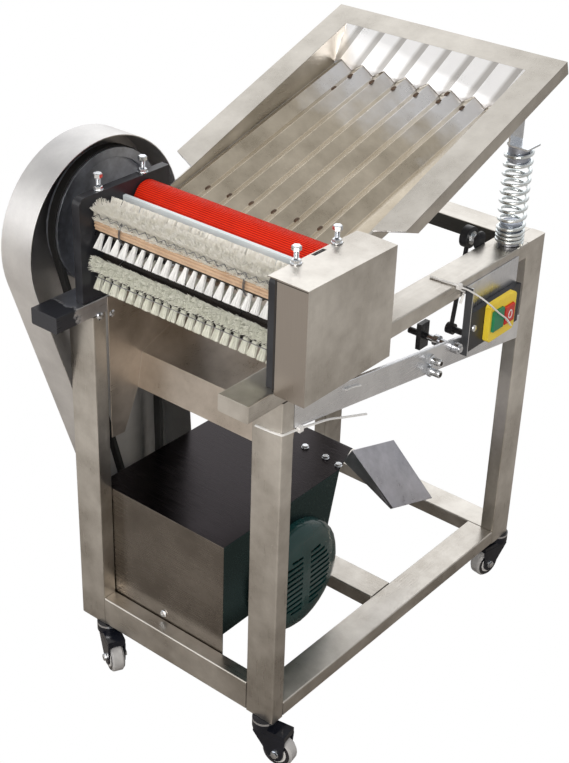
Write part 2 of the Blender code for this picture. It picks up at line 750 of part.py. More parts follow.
def build_rollers():
    """Rubber roller with its shaft, and the plain roller under it."""
    half = (ROLLER_HIGH - ROLLER_LOW) * HALF_SHARE
    middle = (ROLLER_HIGH + ROLLER_LOW) * HALF_SHARE
    sleeve = (
        (BORE_RADIUS, half),
        (ROLLER_RADIUS - ROLLER_EDGE, half),
        (ROLLER_RADIUS, half - ROLLER_EDGE),
        (ROLLER_RADIUS, ROLLER_EDGE - half),
        (ROLLER_RADIUS - ROLLER_EDGE, -half),
        (BORE_RADIUS, -half),
    )
    roller = turned("rubber_roller_sleeve", sleeve, (middle, RUBBER_Y, RUBBER_Z), "X", True)
    paint(roller, RED_SHARES, 0.45, 0.0)
    right = SHAFT_RIGHT_END - middle
    left = SHAFT_LEFT_END - middle
    shaft = ((0.0, right), (SHAFT_RADIUS, right), (SHAFT_RADIUS, left), (0.0, left))
    steel(turned("rubber_roller_shaft", shaft, (middle, RUBBER_Y, RUBBER_Z), "X", False, SMALL))
    left = SHAFT_DRIVE_END - middle
    nip = (
        (0.0, right),
        (SHAFT_RADIUS, right),
        (SHAFT_RADIUS, half),
        (ROLLER_RADIUS, half),
        (ROLLER_RADIUS, -half),
        (SHAFT_RADIUS, -half),
        (SHAFT_RADIUS, left),
        (0.0, left),
    )
    steel(turned("nip_roller", nip, (middle, NIP_Y, NIP_Z), "X", False, 24))


def brush_stations(first, bare):
    """Angles and radii round a brush core: two points to each row of tufts or bare bar."""
    stations = []
    for row in range(ROWS):
        middle = first - ROW_STEP_DEG * row
        wide = BAR_HALF_DEG if row in bare else ROW_HALF_DEG
        radius = BRUSH_BAR if row in bare else BRUSH_CORE
        stations.append((math.radians(middle + wide), radius))
        stations.append((math.radians(middle - wide), radius))
    return stations


def brush_loops(bm, stations, y, z):
    """Rings of points along a brush roller, from one shaft end to the other."""
    pitch = (ROLLER_HIGH - ROLLER_LOW) / TUFTS
    root = pitch * TUFT_ROOT_SHARE
    spots = [(SHAFT_LEFT_END, True), (ROLLER_LOW, True), (ROLLER_LOW, False)]
    for index in range(TUFTS):
        centre = ROLLER_LOW + pitch * (index + HALF_SHARE)
        spots.append((centre - root * HALF_SHARE, False))
        spots.append((centre + root * HALF_SHARE, False))
    spots += [(ROLLER_HIGH, False), (ROLLER_HIGH, True), (SHAFT_RIGHT_END, True)]
    loops = []
    for x, thin in spots:
        loop = []
        for angle, radius in stations:
            reach = SHAFT_RADIUS if thin else radius
            loop.append(bm.verts.new((x, y + reach * math.cos(angle), z + reach * math.sin(angle))))
        loops.append(loop)
    return loops


def grow_tuft(bm, corners, x, angle, y, z):
    """One tuft of bristles: narrow at its root and wider at its tip."""
    pitch = (ROLLER_HIGH - ROLLER_LOW) / TUFTS
    half = pitch * TUFT_TIP_SHARE * HALF_SHARE
    out = Vector((0.0, math.cos(angle), math.sin(angle)))
    side = Vector((0.0, -math.sin(angle), math.cos(angle)))
    base = Vector((x, y, z)) + out * BRUSH_REACH
    tips = []
    for along, across in ((-1, 1), (1, 1), (1, -1), (-1, -1)):
        spot = base + Vector((half * along, 0.0, 0.0)) + side * TUFT_TIP_HALF * across
        tips.append(bm.verts.new(spot))
    for index in range(4):
        after = (index + 1) % 4
        bm.faces.new((corners[index], corners[after], tips[after], tips[index]))
    bm.faces.new(tips)


def build_brush(name, y, z, first, bare):
    """Brush roller: core, backing bars and rows of tufts in one piece."""
    bm = bmesh.new()
    stations = brush_stations(first, bare)
    loops = brush_loops(bm, stations, y, z)
    count = len(stations)
    for spot in range(len(loops) - 1):
        for index in range(count):
            after = (index + 1) % count
            one = loops[spot]
            two = loops[spot + 1]
            corners = (one[index], two[index], two[after], one[after])
            row = index // 2
            tufted = index % 2 == 0 and row not in bare and spot > 2 and spot % 2 == 1
            if tufted and spot < len(loops) - 3:
                x = (one[index].co.x + two[index].co.x) * HALF_SHARE
                angle = math.radians(first - ROW_STEP_DEG * row)
                grow_tuft(bm, corners, x, angle, y, z)
            else:
                bm.faces.new(corners)
    bm.faces.new(loops[0])
    bm.faces.new(list(reversed(loops[-1])))
    middle = (ROLLER_HIGH + ROLLER_LOW) * HALF_SHARE
    brush = from_bmesh(name, bm, (middle, y, z))
    paint(brush, CREAM_SHARES, 0.8, 0.0)
    return brush


def gear_outline(y, z, teeth, phase):
    """Gear outline with plain sloping teeth; one tooth is centred at the phase angle."""
    pitch = GEAR_MODULE * teeth * HALF_SHARE
    tip = pitch + GEAR_MODULE * ADDENDUM_SHARE
    root = pitch - GEAR_MODULE * DEDENDUM_SHARE
    step = TURN / teeth
    points = []
    for tooth in range(teeth):
        middle = phase + step * tooth
        marks = (
            (root, -TOOTH_ROOT_SHARE),
            (tip, -TOOTH_TIP_SHARE),
            (tip, TOOTH_TIP_SHARE),
            (root, TOOTH_ROOT_SHARE),
        )
        for radius, share in marks:
            angle = middle + step * share
            points.append((y + radius * math.cos(angle), z + radius * math.sin(angle)))
    return points


def mesh_phase(from_y, from_z, from_teeth, from_phase, to_y, to_z, teeth):
    """Phase that puts a gap of the second gear on a tooth line of the first."""
    heading = math.atan2(to_z - from_z, to_y - from_y)
    turn = (heading - from_phase) / (TURN / from_teeth)
    offset = turn - math.floor(turn)
    back = heading + TURN * HALF_SHARE
    return back + (TURN / teeth) * (HALF_SHARE + offset)


def build_gears():
    """Gear train in the cover: nip roller drives rubber roller, idler and both brushes."""
    idler_y, idler_z = idler_axis()
    nip = TURN / 4
    rubber = mesh_phase(NIP_Y, NIP_Z, NIP_TEETH, nip, RUBBER_Y, RUBBER_Z, NIP_TEETH)
    idler = mesh_phase(NIP_Y, NIP_Z, NIP_TEETH, nip, idler_y, idler_z, IDLER_TEETH)
    lower = mesh_phase(idler_y, idler_z, IDLER_TEETH, idler, LOWER_BRUSH_Y, LOWER_BRUSH_Z, BRUSH_TEETH)
    upper = mesh_phase(LOWER_BRUSH_Y, LOWER_BRUSH_Z, BRUSH_TEETH, lower, UPPER_BRUSH_Y, UPPER_BRUSH_Z, BRUSH_TEETH)
    train = (
        ("nip_roller_gear", NIP_Y, NIP_Z, NIP_TEETH, nip),
        ("rubber_roller_gear", RUBBER_Y, RUBBER_Z, NIP_TEETH, rubber),
        ("lower_brush_gear", LOWER_BRUSH_Y, LOWER_BRUSH_Z, BRUSH_TEETH, lower),
        ("upper_brush_gear", UPPER_BRUSH_Y, UPPER_BRUSH_Z, BRUSH_TEETH, upper),
    )
    for name, y, z, teeth, phase in train:
        loops = [gear_outline(y, z, teeth, phase), ring(y, z, BORE_RADIUS, SMALL)]
        gear = plate_x(name, loops, GEAR_LOW, GEAR_HIGH, (y, z))
        paint(gear, DARK_STEEL_SHARES, 0.4, 1.0)
    loops = [gear_outline(idler_y, idler_z, IDLER_TEETH, idler)]
    gear = plate_x("idler_gear", loops, GEAR_LOW, GEAR_HIGH, (idler_y, idler_z))
    radius = IDLER_SHAFT_RADIUS
    half = SHAFT_RIGHT_END
    pin = ((0.0, half), (radius, half), (radius, -half), (0.0, -half))
    shaft = turned("idler_shaft_helper", pin, (0.0, idler_y, idler_z), "X", False, SMALL, True)
    combine(gear, [shaft])
    paint(gear, DARK_STEEL_SHARES, 0.4, 1.0)


def build_gear_cover():
    """Folded sheet box over the gears, resting on the right bearing plate."""
    verts = []
    for y in (COVER_FRONT_Y, COVER_REAR_Y):
        verts.append((COVER_LIP_X, y, COVER_TOP_Z))
        verts.append((COVER_LEFT_X, y, COVER_TOP_Z))
        verts.append((COVER_RIGHT_X, y, COVER_TOP_Z))
        verts.append((COVER_RIGHT_X, y, COVER_LOW_Z))
        verts.append((COVER_LEFT_X, y, COVER_LOW_Z))
    faces = ((0, 1, 2, 7, 6, 5), (1, 4, 3, 2), (6, 7, 8, 9), (2, 3, 8, 7))
    cover = sheet("gear_cover", verts, faces, (COVER_RIGHT_X, COVER_FRONT_Y, COVER_TOP_Z))
    spots = (
        (UPPER_BRUSH_Y, COVER_SLOT_WIDE, COVER_SLOT_LONG),
        (RUBBER_Y, COVER_SLOT_WIDE, COVER_SLOT_LONG),
        (COVER_OBLONG_Y, COVER_OBLONG_WIDE, COVER_OBLONG_LONG),
    )
    bm = bmesh.new()
    for y, wide, long in spots:
        made = bmesh.ops.create_cube(bm, size=1)["verts"]
        bmesh.ops.scale(bm, vec=(wide, long, OVERRUN * 2), verts=made)
        bmesh.ops.translate(bm, vec=(COVER_SLOT_X + GAP, y, COVER_TOP_Z), verts=made)
    cutter = from_bmesh("cover_slot_cutter", bm, (COVER_SLOT_X, 0.0, COVER_TOP_Z), True)
    combine(cover, [cutter], "DIFFERENCE")
    steel(cover)


def build_scraper():
    """Thin strip between the rubber roller and the upper brush."""
    low = (LEFT_PLATE_HIGH + GAP, SCRAPER_FRONT, SCRAPER_LOW)
    high = (RIGHT_PLATE_LOW - GAP, SCRAPER_REAR, SCRAPER_TOP)
    paint(box("scraper_strip", low, high), PALE_SHARES, 0.3, 0.0)


def pulley_profile(radius, hub_open):
    """Half section of a grooved pulley with its bore, about its middle."""
    half = (PULLEY_HIGH - PULLEY_LOW) * HALF_SHARE
    floor = radius - GROOVE_DEPTH
    points = [(BORE_RADIUS, half)]
    if hub_open:
        points += [(PULLEY_HUB, half), (PULLEY_HUB, PULLEY_WEB_HALF)]
        points += [(radius - PULLEY_RIM, PULLEY_WEB_HALF), (radius - PULLEY_RIM, half)]
    points += [(radius, half), (radius, GROOVE_HALF), (floor, GROOVE_HALF)]
    points += [(floor, -GROOVE_HALF), (radius, -GROOVE_HALF), (radius, -half)]
    if hub_open:
        points += [(radius - PULLEY_RIM, -half), (radius - PULLEY_RIM, -PULLEY_WEB_HALF)]
        points += [(PULLEY_HUB, -PULLEY_WEB_HALF), (PULLEY_HUB, -half)]
    points.append((BORE_RADIUS, -half))
    return points


def wrap_loop(y1, z1, radius1, y2, z2, radius2, steps):
    """Loop drawn tight round two circles, the first the upper one."""
    dy = y2 - y1
    dz = z2 - z1
    heading = math.atan2(dz, dy)
    lean = math.acos((radius1 - radius2) / math.hypot(dy, dz))
    points = []
    for index in range(steps + 1):
        angle = heading + lean + (TURN - 2 * lean) * index / steps
        points.append((y1 + radius1 * math.cos(angle), z1 + radius1 * math.sin(angle)))
    steps = steps // 2
    for index in range(steps + 1):
        angle = heading - lean + 2 * lean * index / steps
        points.append((y2 + radius2 * math.cos(angle), z2 + radius2 * math.sin(angle)))
    return points


def build_pulleys():
    """Large pulley on the nip roller, small one on the motor, and the belt between them."""
    middle = (PULLEY_HIGH + PULLEY_LOW) * HALF_SHARE
    head = turned("head_pulley", pulley_profile(HEAD_RADIUS, True), (middle, NIP_Y, NIP_Z), "X", True, FINE)
    paint(head, BLACK_SHARES, 0.5, 0.2)
    small = pulley_profile(MOTOR_PULLEY_RADIUS, False)
    paint(turned("motor_pulley", small, (middle, MOTOR_Y, MOTOR_Z), "X", True, 24), DARK_STEEL_SHARES, 0.5, 0.8)
    loops = []
    for extra in (GAP + BELT_THICK, GAP):
        upper = HEAD_RADIUS - GROOVE_DEPTH + extra
        lower = MOTOR_PULLEY_RADIUS - GROOVE_DEPTH + extra
        loops.append(wrap_loop(NIP_Y, NIP_Z, upper, MOTOR_Y, MOTOR_Z, lower, 30))
    belt = plate_x("drive_belt", loops, middle - BELT_HALF, middle + BELT_HALF, (NIP_Y, NIP_Z))
    paint(belt, RUBBER_SHARES, 0.7, 0.0)


def build_belt_guard():
    """Drop-shaped sheet guard round the belt, open towards the frame."""
    loop = wrap_loop(GUARD_Y, GUARD_Z, GUARD_RADIUS, MOTOR_Y, MOTOR_Z, GUARD_FOOT_RADIUS, 36)
    count = len(loop)
    verts = [(GUARD_OUTER_X, y, z) for y, z in loop]
    verts += [(GUARD_INNER_X, y, z) for y, z in loop]
    faces = [tuple(range(count))]
    for index in range(count):
        after = (index + 1) % count
        faces.append((index, after, after + count, index + count))
    steel(sheet("belt_guard", verts, faces, (GUARD_OUTER_X, GUARD_Y, GUARD_Z)))


def build_motor():
    """Motor body on its plate, with shaft, fan and slotted fan cowl."""
    middle = (MOTOR_BODY_LEFT + MOTOR_BODY_RIGHT) * HALF_SHARE
    right = MOTOR_BODY_RIGHT - middle
    left = MOTOR_BODY_LEFT - middle
    bell = MOTOR_BELL_LEFT - middle
    profile = (
        (BORE_RADIUS, right),
        (MOTOR_BODY_RADIUS, right),
        (MOTOR_BODY_RADIUS, left),
        (MOTOR_BELL_RADIUS, bell),
        (BORE_RADIUS, bell),
    )
    body = turned("motor_body", profile, (middle, MOTOR_Y, MOTOR_Z), "X", True)
    plate_top = TUBE_THIN + GAP + MOTOR_PLATE_THICK
    low = (MOTOR_FOOT_LEFT, MOTOR_Y - MOTOR_FOOT_HALF, plate_top + GAP)
    high = (MOTOR_FOOT_RIGHT, MOTOR_Y + MOTOR_FOOT_HALF, MOTOR_FOOT_TOP)
    combine(body, [box("motor_foot_helper", low, high, 0.0, True)])
    paint(body, TEAL_SHARES, 0.35, 0.0)
    low = (MOTOR_PLATE_LEFT, TUBE_THIN + GAP, TUBE_THIN + GAP)
    high = (MOTOR_PLATE_RIGHT, CROSS_FRONT + TUBE_WIDE, plate_top)
    steel(box("motor_plate", low, high))
    left = SHAFT_DRIVE_END - middle
    right = FAN_RIGHT - middle
    profile = ((0.0, right), (SHAFT_RADIUS, right), (SHAFT_RADIUS, left), (0.0, left))
    steel(turned("motor_shaft", profile, (middle, MOTOR_Y, MOTOR_Z), "X", False, SMALL))
    points = []
    for blade in range(FAN_BLADES):
        step = TURN / FAN_BLADES
        marks = ((FAN_ROOT, -FAN_BLADE_SHARE), (FAN_RADIUS, -FAN_BLADE_SHARE / 3))
        marks += ((FAN_RADIUS, FAN_BLADE_SHARE / 3), (FAN_ROOT, FAN_BLADE_SHARE))
        for radius, share in marks:
            angle = step * (blade + share)
            points.append((MOTOR_Y + radius * math.cos(angle), MOTOR_Z + radius * math.sin(angle)))
    loops = [points, ring(MOTOR_Y, MOTOR_Z, BORE_RADIUS, SMALL)]
    black(plate_x("cooling_fan", loops, FAN_LEFT, FAN_RIGHT, (MOTOR_Y, MOTOR_Z)))


def cowl_profile():
    """Half section of the domed fan cowl, outside first and back along the inside."""
    dome = COWL_BEND
    outer = []
    for index in range(6):
        angle = TURN / 4 * (1 - index / 5)
        radius = COWL_RADIUS * math.cos(angle) ** HALF_SHARE
        outer.append((radius, dome + COWL_DOME * math.sin(angle)))
    outer[0] = (0.0, dome + COWL_DOME)
    outer.append((COWL_RADIUS, COWL_LEFT))
    inner = [(COWL_RADIUS - COWL_WALL, COWL_LEFT)]
    for index in range(6):
        angle = TURN / 4 * index / 5
        radius = (COWL_RADIUS - COWL_WALL) * math.cos(angle) ** HALF_SHARE
        inner.append((radius, dome + (COWL_DOME - COWL_WALL) * math.sin(angle)))
    inner[-1] = (0.0, dome + COWL_DOME - COWL_WALL)
    return outer + inner


def build_cowl():
    """Domed fan cowl with level vent slots on both sides of its middle."""
    cowl = turned("fan_cowl", cowl_profile(), (0.0, MOTOR_Y, MOTOR_Z), "X", False)
    bm = bmesh.new()
    thick = COWL_DOME * 2
    for index in range(COWL_SLOTS):
        z = (index - (COWL_SLOTS - 1) * HALF_SHARE) * COWL_SLOT_PITCH
        reach = math.sqrt(max(COWL_SLOT_REACH**2 - z**2, 0.0))
        for side in (-1, 1):
            made = bmesh.ops.create_cube(bm, size=1)["verts"]
            long = reach - COWL_SLOT_INNER
            bmesh.ops.scale(bm, vec=(thick, long, COWL_SLOT_HALF * 2), verts=made)
            y = side * (COWL_SLOT_INNER + long * HALF_SHARE)
            spot = (COWL_BEND + COWL_DOME, MOTOR_Y + y, MOTOR_Z + z)
            bmesh.ops.translate(bm, vec=spot, verts=made)
    cutter = from_bmesh("cowl_slot_cutter", bm, (COWL_BEND, MOTOR_Y, MOTOR_Z), True)
    combine(cowl, [cutter], "DIFFERENCE")
    paint(cowl, TEAL_SHARES, 0.35, 0.0)


def build_motor_cover():
    """Folded cover over the motor: front panel, top, right cheek and left fold."""
    verts = [
        (BOX_LEFT, BOX_FRONT, BOX_TOP),
        (BOX_RIGHT, BOX_FRONT, BOX_TOP),
        (BOX_RIGHT, BOX_CORNER_Y, BOX_TOP),
        (BOX_NOTCH_X, BOX_NOTCH_Y, BOX_TOP),
        (BOX_NOTCH_X, BOX_REAR, BOX_TOP),
        (BOX_LEFT, BOX_REAR, BOX_TOP),
        (BOX_LEFT, BOX_FRONT, BOX_LOW),
        (BOX_RIGHT, BOX_FRONT, BOX_LOW),
        (BOX_RIGHT, BOX_FRONT, BOX_CHEEK_LOW),
        (BOX_LEFT, BOX_FOLD, BOX_TOP - TUBE_THIN),
        (BOX_LEFT, BOX_FOLD, BOX_LOW),
        (BOX_RIGHT, BOX_CHEEK_REAR, BOX_CHEEK_REAR_Z),
    ]
    first = math.asin((BOX_CHEEK_REAR_Z - MOTOR_Z) / CHEEK_NOTCH)
    last = TURN * HALF_SHARE - math.asin((BOX_CHEEK_LOW - MOTOR_Z) / CHEEK_NOTCH)
    arc = []
    for index in range(11):
        angle = first + (last - first) * index / 10
        arc.append(len(verts))
        y = MOTOR_Y + CHEEK_NOTCH * math.cos(angle)
        verts.append((BOX_RIGHT, y, MOTOR_Z + CHEEK_NOTCH * math.sin(angle)))
    faces = [
        (0, 1, 2, 3, 4, 5),
        (0, 6, 7, 8, 1),
        tuple([1, 2, 11] + arc + [8]),
        (0, 6, 10, 9),
    ]
    steel(sheet("motor_cover", verts, faces, (BOX_RIGHT, BOX_FRONT, BOX_TOP)))


def build_hood():
    """Sloping outlet hood behind the motor cover, with a turned-down near edge."""
    verts = [HOOD_NEAR_TOP, HOOD_FAR_TOP, HOOD_FAR_LOW, HOOD_NEAR_LOW, HOOD_FLANGE_LOW]
    steel(sheet("outlet_hood", verts, ((0, 1, 2, 3), (0, 3, 4)), HOOD_NEAR_TOP))


def build_chute():
    """Chute under the rollers: sloping floor, front lip and two side walls."""
    rows = (CHUTE_LIP_LOW, CHUTE_LIP, CHUTE_REAR, CHUTE_REAR_TOP, CHUTE_FRONT_TOP)
    verts = [(CHUTE_LEFT, y, z) for y, z in rows + (CHUTE_LEFT_LOW, CHUTE_LEFT_TOE)]
    count = len(verts)
    verts += [(CHUTE_RIGHT, y, z) for y, z in rows + (CHUTE_RIGHT_LOW,)]
    faces = [
        tuple(range(count)),
        tuple(range(count, len(verts))),
        (0, 1, count + 1, count),
        (1, 2, count + 2, count + 1),
    ]
    steel(sheet("pea_chute", verts, faces, (CHUTE_LEFT, *CHUTE_LIP)))


def tray_point(across, run, lift):
    """Point on the tray: across from its middle, run down from its rear rim, lift above it."""
    y = TRAY_REAR_Y - run * math.cos(TRAY_PITCH) - lift * math.sin(TRAY_PITCH)
    z = TRAY_REAR_Z - run * math.sin(TRAY_PITCH) + lift * math.cos(TRAY_PITCH)
    return (TRAY_MIDDLE_X + across, y, z)


def floor_height(y):
    """Middle height of the tray floor."""
    return FLOOR_Z + (y - FLOOR_Y) * FLOOR_SLOPE_SHARE


def channel_rows(low, high):
    """Across position and height of each fold of the channelled floor."""
    rows = [(low, 0.0)]
    for index in range(CHANNELS):
        peak = FIRST_PEAK + CHANNEL_PITCH * index
        rows.append((peak, CHANNEL_DEEP))
        rows.append((peak + CHANNEL_PITCH * HALF_SHARE, -CHANNEL_DEEP))
    rows.append((FIRST_PEAK + CHANNEL_PITCH * CHANNELS, CHANNEL_DEEP))
    rows.append((high, CHANNEL_DEEP))
    return rows


def tray_rings():
    """Corner points of the tray rim, ring by ring from lip to inner edge."""
    inner = TRAY_HALF - TRAY_FLANGE
    rings = []
    marks = (
        (TRAY_HALF, TRAY_LIP_RUN, 0.0, -TRAY_LIP),
        (TRAY_HALF, TRAY_CREASE_RUN, 0.0, 0.0),
        (inner, TRAY_INNER_RUN, TRAY_FLANGE, 0.0),
    )
    for half, front, rear, lift in marks:
        rings.append([
            tray_point(-half, front, lift),
            tray_point(-half, rear, lift),
            tray_point(half, rear, lift),
            tray_point(half, front, lift),
        ])
    return rings


def build_tray():
    """Tray rim with lip, flange, side walls and rear sheet, and the channelled floor sheet."""
    verts = []
    for corner_ring in tray_rings():
        verts += corner_ring
    faces = []
    for level in (0, 4):
        for index in range(3):
            faces.append((level + index, level + index + 1, level + index + 5, level + index + 4))
    left = verts[8][0]
    right = verts[11][0]
    bottom = []
    for x, height in channel_rows(left, right):
        bottom.append(len(verts))
        verts.append((x, FLOOR_OVERLAP, floor_height(FLOOR_OVERLAP) + height + FLOOR_STEP))
    faces.append(tuple([10, 9] + bottom))
    for inner_rear, inner_front, low in ((9, 8, bottom[0]), (10, 11, bottom[-1])):
        x = verts[inner_rear][0]
        start = len(verts)
        verts.append((x, FLOOR_OVERLAP, floor_height(FLOOR_OVERLAP) - TRAY_WALL_DROP))
        verts.append((x, FLOOR_FRONT, floor_height(FLOOR_FRONT) - TRAY_WALL_DROP))
        verts.append((x, FLOOR_FRONT, floor_height(FLOOR_FRONT) + TRAY_WALL_LIP))
        faces.append((inner_rear, low, start, start + 1, start + 2, inner_front))
    steel(sheet("feed_tray_rim", verts, faces, verts[4]))
    verts = []
    for y in (FLOOR_FRONT, FLOOR_REAR):
        for x, height in channel_rows(left + FLOOR_INSET, right - FLOOR_INSET):
            verts.append((x, y, floor_height(y) + height))
    half = len(verts) // 2
    faces = [(index, index + 1, index + 1 + half, index + half) for index in range(half - 1)]
    steel(sheet("channel_sheet", verts, faces, verts[0]))


def build_spring(name, x):
    """Coil spring between a top side rail and its tray bracket."""
    points = []
    low = RAIL_TOP + GAP * 2 + SPRING_WIRE
    high = BRACKET_LOW - GAP * 2 - SPRING_WIRE
    steps = int(SPRING_TURNS * SPRING_POINTS)
    for index in range(steps + 1):
        angle = TURN * index / SPRING_POINTS
        z = low + (high - low) * index / steps
        points.append((x + SPRING_RADIUS * math.cos(angle), SPRING_Y + SPRING_RADIUS * math.sin(angle), z))
    spring = tube_path(name, points, SPRING_WIRE, 1)
    paint(spring, ZINC_SHARES, 0.25, 1.0)
    rise = (high - low) / SPRING_TURNS
    print("least clear gap between curls of", name, round(rise - SPRING_WIRE * 2, 5))


def build_bracket(name, x_in, x_out):
    """Angle bracket from the tray wall out over its spring."""
    way = 1 if x_out > x_in else -1
    thick = BRACKET_THICK * way
    outline = (
        (x_in, BRACKET_LOW),
        (x_out, BRACKET_LOW),
        (x_out, BRACKET_LOW + BRACKET_THICK),
        (x_in + thick, BRACKET_LOW + BRACKET_THICK),
        (x_in + thick, BRACKET_TOP),
        (x_in, BRACKET_TOP),
    )
    bracket = prism(name, outline, 1, SPRING_Y - BRACKET_HALF, SPRING_Y + BRACKET_HALF)
    paint(bracket, ZINC_SHARES, 0.3, 1.0)


def build_springs():
    """Right and left springs with their brackets."""
    mirror = TRAY_MIDDLE_X * 2
    build_spring("right_spring", SPRING_X)
    build_spring("left_spring", mirror - SPRING_X)
    build_bracket("right_spring_bracket", BRACKET_IN, BRACKET_OUT)
    build_bracket("left_spring_bracket", mirror - BRACKET_IN, mirror - BRACKET_OUT)


def rod_helper(name, low, high, radius, y, z, count=SMALL):
    """Round helper bar along X."""
    half = (high - low) * HALF_SHARE
    profile = ((0.0, half), (radius, half), (radius, -half), (0.0, -half))
    return turned(name, profile, ((low + high) * HALF_SHARE, y, z), "X", False, count, True)


def build_link():
    """Tie link: round eye, rod and lower eye, with pins to the top rail and the middle rail."""
    flange_high = -TUBE_WIDE - GAP
    flange_low = flange_high - LINK_FLANGE_THICK
    low_pin_high = -MIDDLE_THICK - GAP
    eye_high = LINK_EYE_HALF
    pin_end = flange_low - LINK_X
    top = (
        (0.0, flange_high - LINK_X),
        (LINK_FLANGE, flange_high - LINK_X),
        (LINK_FLANGE, pin_end),
        (LINK_PIN, pin_end),
        (LINK_PIN, eye_high),
        (LINK_EYE, eye_high),
        (LINK_EYE, -eye_high),
        (0.0, -eye_high),
    )
    low = (
        (0.0, low_pin_high - LINK_X),
        (LINK_PIN, low_pin_high - LINK_X),
        (LINK_PIN, eye_high),
        (LINK_LOW_EYE, eye_high),
        (LINK_LOW_EYE, -eye_high),
        (0.0, -eye_high),
    )
    link = turned("tie_link", top, (LINK_X, LINK_TOP_Y, LINK_TOP_Z), "X", False, 24)
    lower = turned("link_lower_eye", low, (LINK_X, LINK_LOW_Y, LINK_LOW_Z), "X", False, SMALL, True)
    ends = ((LINK_X, LINK_TOP_Y, LINK_TOP_Z), (LINK_X, LINK_LOW_Y, LINK_LOW_Z))
    length = (Vector(ends[0]) - Vector(ends[1])).length
    bm = bmesh.new()
    bmesh.ops.create_cone(
        bm, cap_ends=True, segments=12, radius1=LINK_ROD, radius2=LINK_ROD, depth=length - LINK_ROD
    )
    lean = math.atan2(LINK_TOP_Y - LINK_LOW_Y, LINK_TOP_Z - LINK_LOW_Z)
    bmesh.ops.rotate(bm, verts=bm.verts, matrix=Matrix.Rotation(-lean, 3, "X"))
    middle = (Vector(ends[0]) + Vector(ends[1])) * HALF_SHARE
    bmesh.ops.translate(bm, verts=bm.verts, vec=middle)
    rod = from_bmesh("link_rod", bm, middle, True)
    combine(link, [rod, lower])
    paint(link, ZINC_SHARES, 0.3, 1.0)


def build_adjuster():
    """Threaded adjuster rod with its nuts and black end block."""
    right = ADJUSTER_RIGHT
    half = (right - ADJUSTER_LEFT) * HALF_SHARE
    middle = (right + ADJUSTER_LEFT) * HALF_SHARE
    profile = [(0.0, half), (ADJUSTER_ROD, half)]
    for spot in ADJUSTER_NUTS:
        top = spot - middle
        profile += [(ADJUSTER_ROD, top), (ADJUSTER_NUT, top)]
        profile += [(ADJUSTER_NUT, top - ADJUSTER_NUT_LONG), (ADJUSTER_ROD, top - ADJUSTER_NUT_LONG)]
    profile += [(ADJUSTER_ROD, -half), (0.0, -half)]
    rod = turned("adjuster_rod", profile, (middle, ADJUSTER_Y, ADJUSTER_Z), "X", False, SMALL)
    left = ADJUSTER_PLATE_X - ADJUSTER_PLATE_THICK
    low = (left, ADJUSTER_Y - ADJUSTER_PLATE, ADJUSTER_Z - ADJUSTER_PLATE_TALL)
    high = (ADJUSTER_PLATE_X, ADJUSTER_Y + ADJUSTER_PLATE, ADJUSTER_Z + ADJUSTER_PLATE_TALL)
    combine(rod, [box("adjuster_plate_helper", low, high, 0.0, True)])
    paint(rod, ZINC_SHARES, 0.3, 1.0)


def rectangle(middle, half):
    """Corner points of an upright rectangle about a middle point."""
    return [
        (middle[0] - half[0], middle[1] - half[1]),
        (middle[0] + half[0], middle[1] - half[1]),
        (middle[0] + half[0], middle[1] + half[1]),
        (middle[0] - half[0], middle[1] + half[1]),
    ]


def build_switch():
    """Switch box on its bent bracket, with a face plate and two push buttons."""
    back_out = GAP + SWITCH_PLATE_THICK
    fold = SWITCH_BACK_FRONT + SWITCH_PLATE_THICK
    angle = (
        (GAP, SWITCH_BACK_FRONT),
        (SWITCH_DEPTH, SWITCH_BACK_FRONT),
        (SWITCH_DEPTH, fold),
        (back_out, fold),
        (back_out, SWITCH_BACK_REAR),
        (GAP, SWITCH_BACK_REAR),
    )
    corner = (GAP, SWITCH_BACK_FRONT, SWITCH_BACK_LOW)
    steel(prism("switch_bracket", angle, 2, SWITCH_BACK_LOW, SWITCH_BACK_TOP, corner))
    low = (back_out + GAP, SWITCH_FRONT, SWITCH_LOW)
    black(box("switch_box", low, (SWITCH_DEPTH, SWITCH_REAR, SWITCH_TOP), SWITCH_EDGE, False, 2))
    outline = [
        (FACE_FRONT, FACE_LOW + FACE_CUT),
        (FACE_FRONT + FACE_CUT, FACE_LOW),
        (FACE_REAR - FACE_CUT, FACE_LOW),
        (FACE_REAR, FACE_LOW + FACE_CUT),
        (FACE_REAR, FACE_TOP - FACE_CUT),
        (FACE_REAR - FACE_CUT, FACE_TOP),
        (FACE_FRONT + FACE_CUT, FACE_TOP),
        (FACE_FRONT, FACE_TOP - FACE_CUT),
    ]
    loops = [outline]
    for middle, half in ((BUTTON_START, BUTTON_START_HALF), (BUTTON_STOP, BUTTON_STOP_HALF)):
        loops.append(rectangle(middle, (half[0] + GAP, half[1] + GAP)))
    face_low = SWITCH_DEPTH + GAP
    face = plate_x("switch_face", loops, face_low, face_low + FACE_THICK, (FACE_FRONT, FACE_LOW))
    paint(face, YELLOW_SHARES, 0.45, 0.0)
    for name, middle, half, shares in (
        ("start_button", BUTTON_START, BUTTON_START_HALF, GREEN_SHARES),
        ("stop_button", BUTTON_STOP, BUTTON_STOP_HALF, RED_SHARES),
    ):
        low = (BUTTON_IN, middle[0] - half[0], middle[1] - half[1])
        high = (BUTTON_OUT, middle[0] + half[0], middle[1] + half[1])
        paint(box(name, low, high, BUTTON_EDGE, False, 2), shares, 0.4, 0.0)


